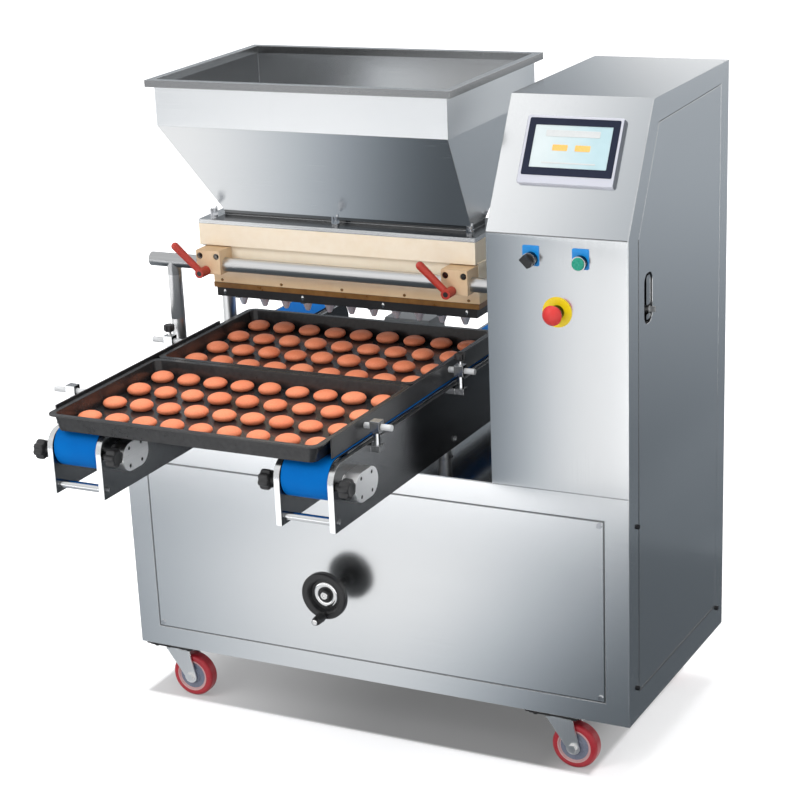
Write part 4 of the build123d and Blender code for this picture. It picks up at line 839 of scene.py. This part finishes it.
# Radius and height of the two sorts of lobed knob, and the length and radius of their stems
NOSE_STAR = (20 * MM, 20 * MM)
NOSE_STEM = (11.5 * MM, 7 * MM)
GUIDE_STAR = (12 * MM, 14 * MM)
GUIDE_STEM = (10 * MM, 4 * MM)
STEM_STEPS = 32
STAR_LOBES = 7
STEPS_PER_LOBE = 14
STAR_STEPS = STAR_LOBES * STEPS_PER_LOBE
# Depth of the dips between lobes, how narrow they are, and how far they reach in to the middle
STAR_DIP = 0.2
DIP_POWER = 1.4
DIP_REACH = 1.1
# Share of the radius and of the height at each ring of a lobed knob, from its neck to the dish on top
STAR_LAYERS = ((0.62, -0.1), (0.9, 0.0), (0.985, 0.12), (1.0, 0.3), (1.0, 0.7), (0.97, 0.86), (0.88, 0.96),
               (0.72, 1.0), (0.5, 0.96), (0.3, 0.94))
BELT_WIDTH = 98 * MM


def star_knob(shape, base, axis, radius, height):
    """A lobed clamping knob: rounded lobes, a shallow dish on top and a neck under it."""
    place = axis_turn(base, axis)
    rings = []
    for grow, level in STAR_LAYERS:
        ring = []
        for i in range(STAR_STEPS):
            a = 2 * pi * i / STAR_STEPS
            dip = STAR_DIP * (0.5 - 0.5 * cos(STAR_LOBES * a)) ** DIP_POWER
            r = radius * grow * (1 - dip * min(1.0, grow * grow * DIP_REACH))
            ring.append(shape.verts.new(place @ Vector((r * cos(a), r * sin(a), height * level))))
        rings.append(ring)
    skin(shape, rings, STAR_STEPS)
    shape.faces.new(rings[-1])
    shape.faces.new(rings[0][::-1])


def stem(shape, base, axis, length, radius):
    """A round stem that ends in a knob's base."""
    lathe(shape, base, axis, [(0, -length), (radius, -length), (radius, 0), (0, 0)], STEM_STEPS)


def nose_knob_pieces():
    """Lobed knobs in place of the plain ones at the conveyors' noses."""
    gap = highest("belts").x - lowest("belts").x - BELT_WIDTH
    for side, way in (("left", -1), ("right", 1)):
        node = f"{side}_nose_knobs"
        spot = middle(node)
        outer = lowest(node).x if way < 0 else highest(node).x
        shape = bmesh.new()
        for shift in (0, -way * gap):
            base = Vector((outer + shift - way * NOSE_STAR[1], spot.y, spot.z))
            star_knob(shape, base, (way, 0, 0), *NOSE_STAR)
            stem(shape, base, (way, 0, 0), *NOSE_STEM)
        knob = shaped(f"{side}_nose_star_knobs", shape, node, black_plastic)
        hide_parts(node)


def guide_knob_pieces():
    """Lobed knobs in place of the plain ones on the tray guides, and their bright stems."""
    for side in ("left", "right"):
        node = f"{side}_guide_knob"
        spot = middle(node)
        base = Vector((spot.x, spot.y, highest(node).z - GUIDE_STAR[1]))
        shape = bmesh.new()
        star_knob(shape, base, (0, 0, 1), *GUIDE_STAR)
        knob = shaped(f"{side}_guide_star_knob", shape, node, black_plastic)
        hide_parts(node)
        shape = bmesh.new()
        stem(shape, base, (0, 0, 1), *GUIDE_STEM)
        shaped(f"{side}_guide_knob_stem", shape, node, chrome)


def geometry_tree(name, sizes, result):
    """A Geometry Nodes tree with named inputs and one geometry output: the tree and its inputs."""
    tree = bpy.data.node_groups.new(name, "GeometryNodeTree")
    for label, kind in sizes.items():
        tree.interface.new_socket(label, in_out="INPUT", socket_type=f"NodeSocket{kind}")
    tree.interface.new_socket(result, in_out="OUTPUT", socket_type="NodeSocketGeometry")
    return tree, tree.nodes.new("NodeGroupInput").outputs


def give_finish(tree, geometry, finish):
    """Put a finish on a geometry and hand it to the tree's output."""
    covered = add(tree, "GeometryNodeSetMaterial", Geometry=geometry, Material=finish)
    result = tree.nodes.new("NodeGroupOutput")
    tree.links.new(covered.outputs[0], result.inputs[0])


def grown_mesh(name, tree, values):
    """Plain mesh made by a Geometry Nodes tree with the given named inputs."""
    base = bpy.data.objects.new(name, bpy.data.meshes.new(name))
    bpy.context.scene.collection.objects.link(base)
    modifier = base.modifiers.new("made", "NODES")
    modifier.node_group = tree
    for item in tree.interface.items_tree:
        if item.in_out == "INPUT":
            modifier[item.identifier] = values[item.name]
    shown = base.evaluated_get(bpy.context.evaluated_depsgraph_get())
    mesh = bpy.data.meshes.new_from_object(shown)
    bpy.data.objects.remove(base)
    return mesh


# Part of a round's lower half that is left above its flat bottom
FLAT_FROM = 0.75
ROUND_COLUMNS = 9
ROUND_ROWS = 4
ROUND_PITCH_X = 63.5 * MM
ROUND_PITCH_Y = 89 * MM
ROUND_RADIUS = 24 * MM
ROUND_HEIGHT = 20 * MM
ROUND_SETBACK = 20 * MM
TRAY_FLOOR = 2 * MM


def batter_tree():
    """Geometry Nodes tree for rows of puffed baked rounds, each a little different."""
    sizes = {"Columns": "Int", "Rows": "Int", "Column Pitch": "Float", "Row Pitch": "Float",
             "Radius": "Float", "Height": "Float", "Place": "Vector", "Seed": "Int", "Finish": "Material"}
    tree, inside = geometry_tree("batter_rows", sizes, "Rounds")
    grid = tree.nodes.new("GeometryNodeMeshGrid")
    for line, axis in (("Column", "X"), ("Row", "Y")):
        count = inside[f"{line}s"]
        length = reckon(tree, "MULTIPLY", reckon(tree, "SUBTRACT", count, 1), inside[f"{line} Pitch"])
        feed(tree, length, grid.inputs[f"Size {axis}"])
        feed(tree, count, grid.inputs[f"Vertices {axis}"])
    ball = add(tree, "GeometryNodeMeshUVSphere", Segments=36, Rings=16, Radius=1.0)
    spot = tree.nodes.new("GeometryNodeInputPosition")
    parts = add(tree, "ShaderNodeSeparateXYZ", Vector=spot.outputs[0]).outputs
    puffed = tree.nodes.new("ShaderNodeCombineXYZ")
    for axis in "XY":
        feed(tree, reckon(tree, "MULTIPLY", parts[axis], inside["Radius"]), puffed.inputs[axis])
    rise = reckon(tree, "ADD", reckon(tree, "MAXIMUM", parts["Z"], -FLAT_FROM), FLAT_FROM)
    stretch = reckon(tree, "DIVIDE", inside["Height"], 1 + FLAT_FROM)
    feed(tree, reckon(tree, "MULTIPLY", stretch, rise), puffed.inputs["Z"])
    one = add(tree, "GeometryNodeSetPosition", Geometry=ball.outputs["Mesh"], Position=puffed.outputs[0])

    def drawn(low, high):
        """Socket with a random vector for each round."""
        node = add(tree, "FunctionNodeRandomValue", data_type="FLOAT_VECTOR", Min=low, Max=high,
                   Seed=inside["Seed"])
        return node.outputs[0]

    copies = add(tree, "GeometryNodeInstanceOnPoints", Points=grid.outputs["Mesh"], Instance=one.outputs[0],
                 Rotation=drawn((0, 0, 0), (0, 0, 2 * pi)),
                 Scale=drawn((0.95, 0.95, 0.9), (1.04, 1.04, 1.08)))
    real = add(tree, "GeometryNodeRealizeInstances", Geometry=copies.outputs[0])
    moved = add(tree, "GeometryNodeTransform", Geometry=real.outputs[0], Translation=inside["Place"])
    give_finish(tree, moved.outputs[0], inside["Finish"])
    return tree


def batter_rounds():
    """Baked rounds in rows on both trays."""
    tree = batter_tree()
    for seed, tray in enumerate(("front_tray", "rear_tray")):
        spot = middle(tray)
        place = (spot.x, spot.y + ROUND_SETBACK, lowest(tray).z + TRAY_FLOOR)
        values = {"Columns": ROUND_COLUMNS, "Rows": ROUND_ROWS, "Column Pitch": ROUND_PITCH_X,
                  "Row Pitch": ROUND_PITCH_Y, "Radius": ROUND_RADIUS, "Height": ROUND_HEIGHT,
                  "Place": place, "Seed": seed, "Finish": batter}
        mesh = grown_mesh(f"{tray}_rounds", tree, values)
        smooth(mesh, ROUND_CRISP)
        finished(f"{tray}_rounds", mesh, tray)


def rounded_outline(width, height, radius, steps=6):
    """Corner-rounded rectangle as points, counter-clockwise."""
    points = []
    for quarter, (sx, sy) in enumerate(((1, 1), (-1, 1), (-1, -1), (1, -1))):
        corner_x = sx * (width / 2 - radius)
        corner_y = sy * (height / 2 - radius)
        for i in range(steps + 1):
            a = pi / 2 * (quarter + i / steps)
            points.append((corner_x + radius * cos(a), corner_y + radius * sin(a)))
    return points


def rounded_sheet(shape, spot, up, size, radius, levels, across=0.0, window=None):
    """A thin rounded sheet between two levels of a face whose points spot gives, with or without a window."""
    outer = rounded_outline(*size, radius)
    rims = [outer]
    if window:
        width, height, window_across, window_up = window
        inner = rounded_outline(width, height, radius / 2)
        rims.append([(x + window_across, y + window_up) for x, y in inner])
    layers = [[[shape.verts.new(spot(x + across, y + up, level)) for x, y in rim] for rim in rims]
              for level in levels]
    for wall in zip(*layers):
        skin(shape, wall, len(outer))
    for layer in layers:
        if window:
            skin(shape, layer, len(outer))
        else:
            shape.faces.new(layer[0])


# Plane of the leaning control face: a point of its crease, and unit vectors up the slope and out of it
CREASE = Vector((0, FRONT_Y, COLUMN_CREASE))
LEAN_BACK = 137
LEAN_UP = 242
SLOPE = Vector((0, LEAN_BACK, LEAN_UP)).normalized()
OUTWARD = Vector((0, -LEAN_UP, LEAN_BACK)).normalized()
PANEL_X = 436 * MM
PANEL_UP = 166 * MM
PANEL_PROUD = 9 * MM
BORDER_LEVELS = (PANEL_PROUD - 0.5 * MM, PANEL_PROUD + 0.5 * MM)
FIELD_LEVELS = (PANEL_PROUD - 0.5 * MM, PANEL_PROUD - 0.2 * MM)


def on_panel(across, up, out):
    """Point of the touch panel, from its middle, in metres."""
    return CREASE + Vector((PANEL_X + across, 0, 0)) + SLOPE * (PANEL_UP + up) + OUTWARD * out


def panel_pieces():
    """Dark glass border and plain coloured fields of the touch panel."""
    shape = bmesh.new()
    rounded_sheet(shape, on_panel, up=6 * MM, size=(184 * MM, 113 * MM), radius=3 * MM,
                  levels=BORDER_LEVELS, window=(157 * MM, 84 * MM, 0, 1 * MM))
    shaped("panel_glass_border", shape, "machine_frame", bezel_dark)
    shape = bmesh.new()
    for across in (-22 * MM, 24 * MM):
        rounded_sheet(shape, on_panel, up=5 * MM, size=(31 * MM, 12 * MM), radius=2 * MM,
                      levels=FIELD_LEVELS, across=across)
    shaped("screen_buttons", shape, "machine_frame", screen_orange)
    shape = bmesh.new()
    for up, height, radius in ((33 * MM, 13 * MM, 2 * MM), (-25 * MM, 3 * MM, 1 * MM)):
        rounded_sheet(shape, on_panel, up, (110 * MM, height), radius, FIELD_LEVELS)
    shaped("screen_fields", shape, "machine_frame", screen_grey)


RECESS = Vector((RIGHT_X, 62 * MM, 1001 * MM))
SHADE_SHEET_LEVELS = (-13.9 * MM, -13.2 * MM)
BAR_LEVELS = (-13.4 * MM, -2.5 * MM)


def on_door(across, up, out):
    """Point of the door's pull recess, from the middle of its mouth, in metres."""
    return RECESS + Vector((out, across, up))


def recess_trim():
    """Dark sheet as painted shade on the floor of the door's recess, and the grey pull bar in two lengths
    above and below the lock knob.
    """
    shape = bmesh.new()
    rounded_sheet(shape, on_door, up=0, size=(44 * MM, 99 * MM), radius=17.5 * MM, levels=SHADE_SHEET_LEVELS)
    shaped("recess_shade_sheet", shape, "side_door", black_plastic)
    shape = bmesh.new()
    for up, height in ((14 * MM, 58 * MM), (-38.5 * MM, 11 * MM)):
        rounded_sheet(shape, on_door, up, size=(22 * MM, height), radius=5 * MM, levels=BAR_LEVELS,
                      across=7 * MM)
    shaped("pull_bar", shape, "side_door", bar_metal)


def stud_tree():
    """Geometry Nodes tree for a row of low domed studs."""
    sizes = {"Count": "Int", "Start": "Vector", "Step": "Vector", "Size": "Vector", "Finish": "Material"}
    tree, inside = geometry_tree("stud_row", sizes, "Studs")
    row = add(tree, "GeometryNodeMeshLine", Count=inside["Count"], Start_Location=inside["Start"],
              Offset=inside["Step"])
    ball = add(tree, "GeometryNodeMeshUVSphere", Segments=24, Rings=12)
    copies = add(tree, "GeometryNodeInstanceOnPoints", Points=row.outputs["Mesh"],
                 Instance=ball.outputs["Mesh"], Scale=inside["Size"])
    real = add(tree, "GeometryNodeRealizeInstances", Geometry=copies.outputs[0])
    give_finish(tree, real.outputs[0], inside["Finish"])
    return tree


STUDS = stud_tree()
# Millimetres between the two conveyors' right faces, and from a face in to the middle of its screws
CONVEYOR_PITCH = 508
SCREW_SUNK = 0.8


def stud_row(name, body, finish, count, start, step, size):
    """A row of studs as one piece, with all sizes in millimetres."""
    values = {"Count": count, "Finish": finish}
    for label, triple in (("Start", start), ("Step", step), ("Size", size)):
        values[label] = tuple(part * MM for part in triple)
    mesh = grown_mesh(name, STUDS, values)
    smooth(mesh, STUD_CRISP)
    finished(name, mesh, body)


def small_studs():
    """Screws on the piston block's foot, clips on the nozzle plate, dark screws in the bearing housings."""
    foot_y = lowest("piston_block").y / MM
    stud_row("strip_screws", "machine_frame", seal_brown, count=5,
             start=(-393, foot_y, 955.5), step=(145, 0, 0), size=(3.6, 1.6, 3.0))
    plate_y = lowest("nozzle_plate").y / MM
    stud_row("plate_clips", "machine_frame", chrome, count=4,
             start=(-388, plate_y, 930), step=(190, 0, 0), size=(3.2, 2.0, 6.0))
    right_face = highest("bearing_housings").x / MM
    faces = {"left": right_face - CONVEYOR_PITCH, "right": right_face}
    for side, face in faces.items():
        for row, z in (("low", 735), ("high", 771)):
            stud_row(f"{side}_housing_{row}_screws", "lift_deck", black_plastic, count=2,
                     start=(face - SCREW_SUNK, -473, z), step=(0, 42, 0), size=(1.4, 3.8, 3.8))


WHEEL_AXIS = Vector((-75 * MM, -104 * MM, 346 * MM))
GRIP_DROP = 42 * MM
GRIP_TIP = Vector((WHEEL_AXIS.x, -154 * MM, WHEEL_AXIS.z - GRIP_DROP))
# Profiles of the handwheel's bright trim, as radius and height in millimetres
TRIM_RING = ((17.4, -4.5), (17.4, -3.2), (18, -2.8), (27.2, -2.8), (27.8, -3.2), (27.8, -4.5), (17.4, -4.5))
TRIM_CAP = ((0, 2.5), (8.4, 2.5), (8.4, 3.6), (7.6, 4.4), (4.2, 4.4), (4.2, 3.4), (0, 3.4))
TRIM_PIN = ((0, -1), (6.2, -1), (6.2, 0.3), (5.6, 0.7), (3, 0.7), (3, 0.2), (0, 0.2))


def handwheel_trim():
    """Bright ring, centre screw and pin end on the black handwheel."""
    shape = bmesh.new()
    for place, profile, steps in (
        (WHEEL_AXIS, TRIM_RING, 64),
        (WHEEL_AXIS, TRIM_CAP, 48),
        (GRIP_TIP, TRIM_PIN, 40),
    ):
        lathe(shape, place, (0, -1, 0), [(r * MM, h * MM) for r, h in profile], steps)
    shaped("handwheel_trim", shape, "handwheel", chrome)


nose_knob_pieces()
guide_knob_pieces()
batter_rounds()
panel_pieces()
handwheel_trim()
recess_trim()
small_studs()
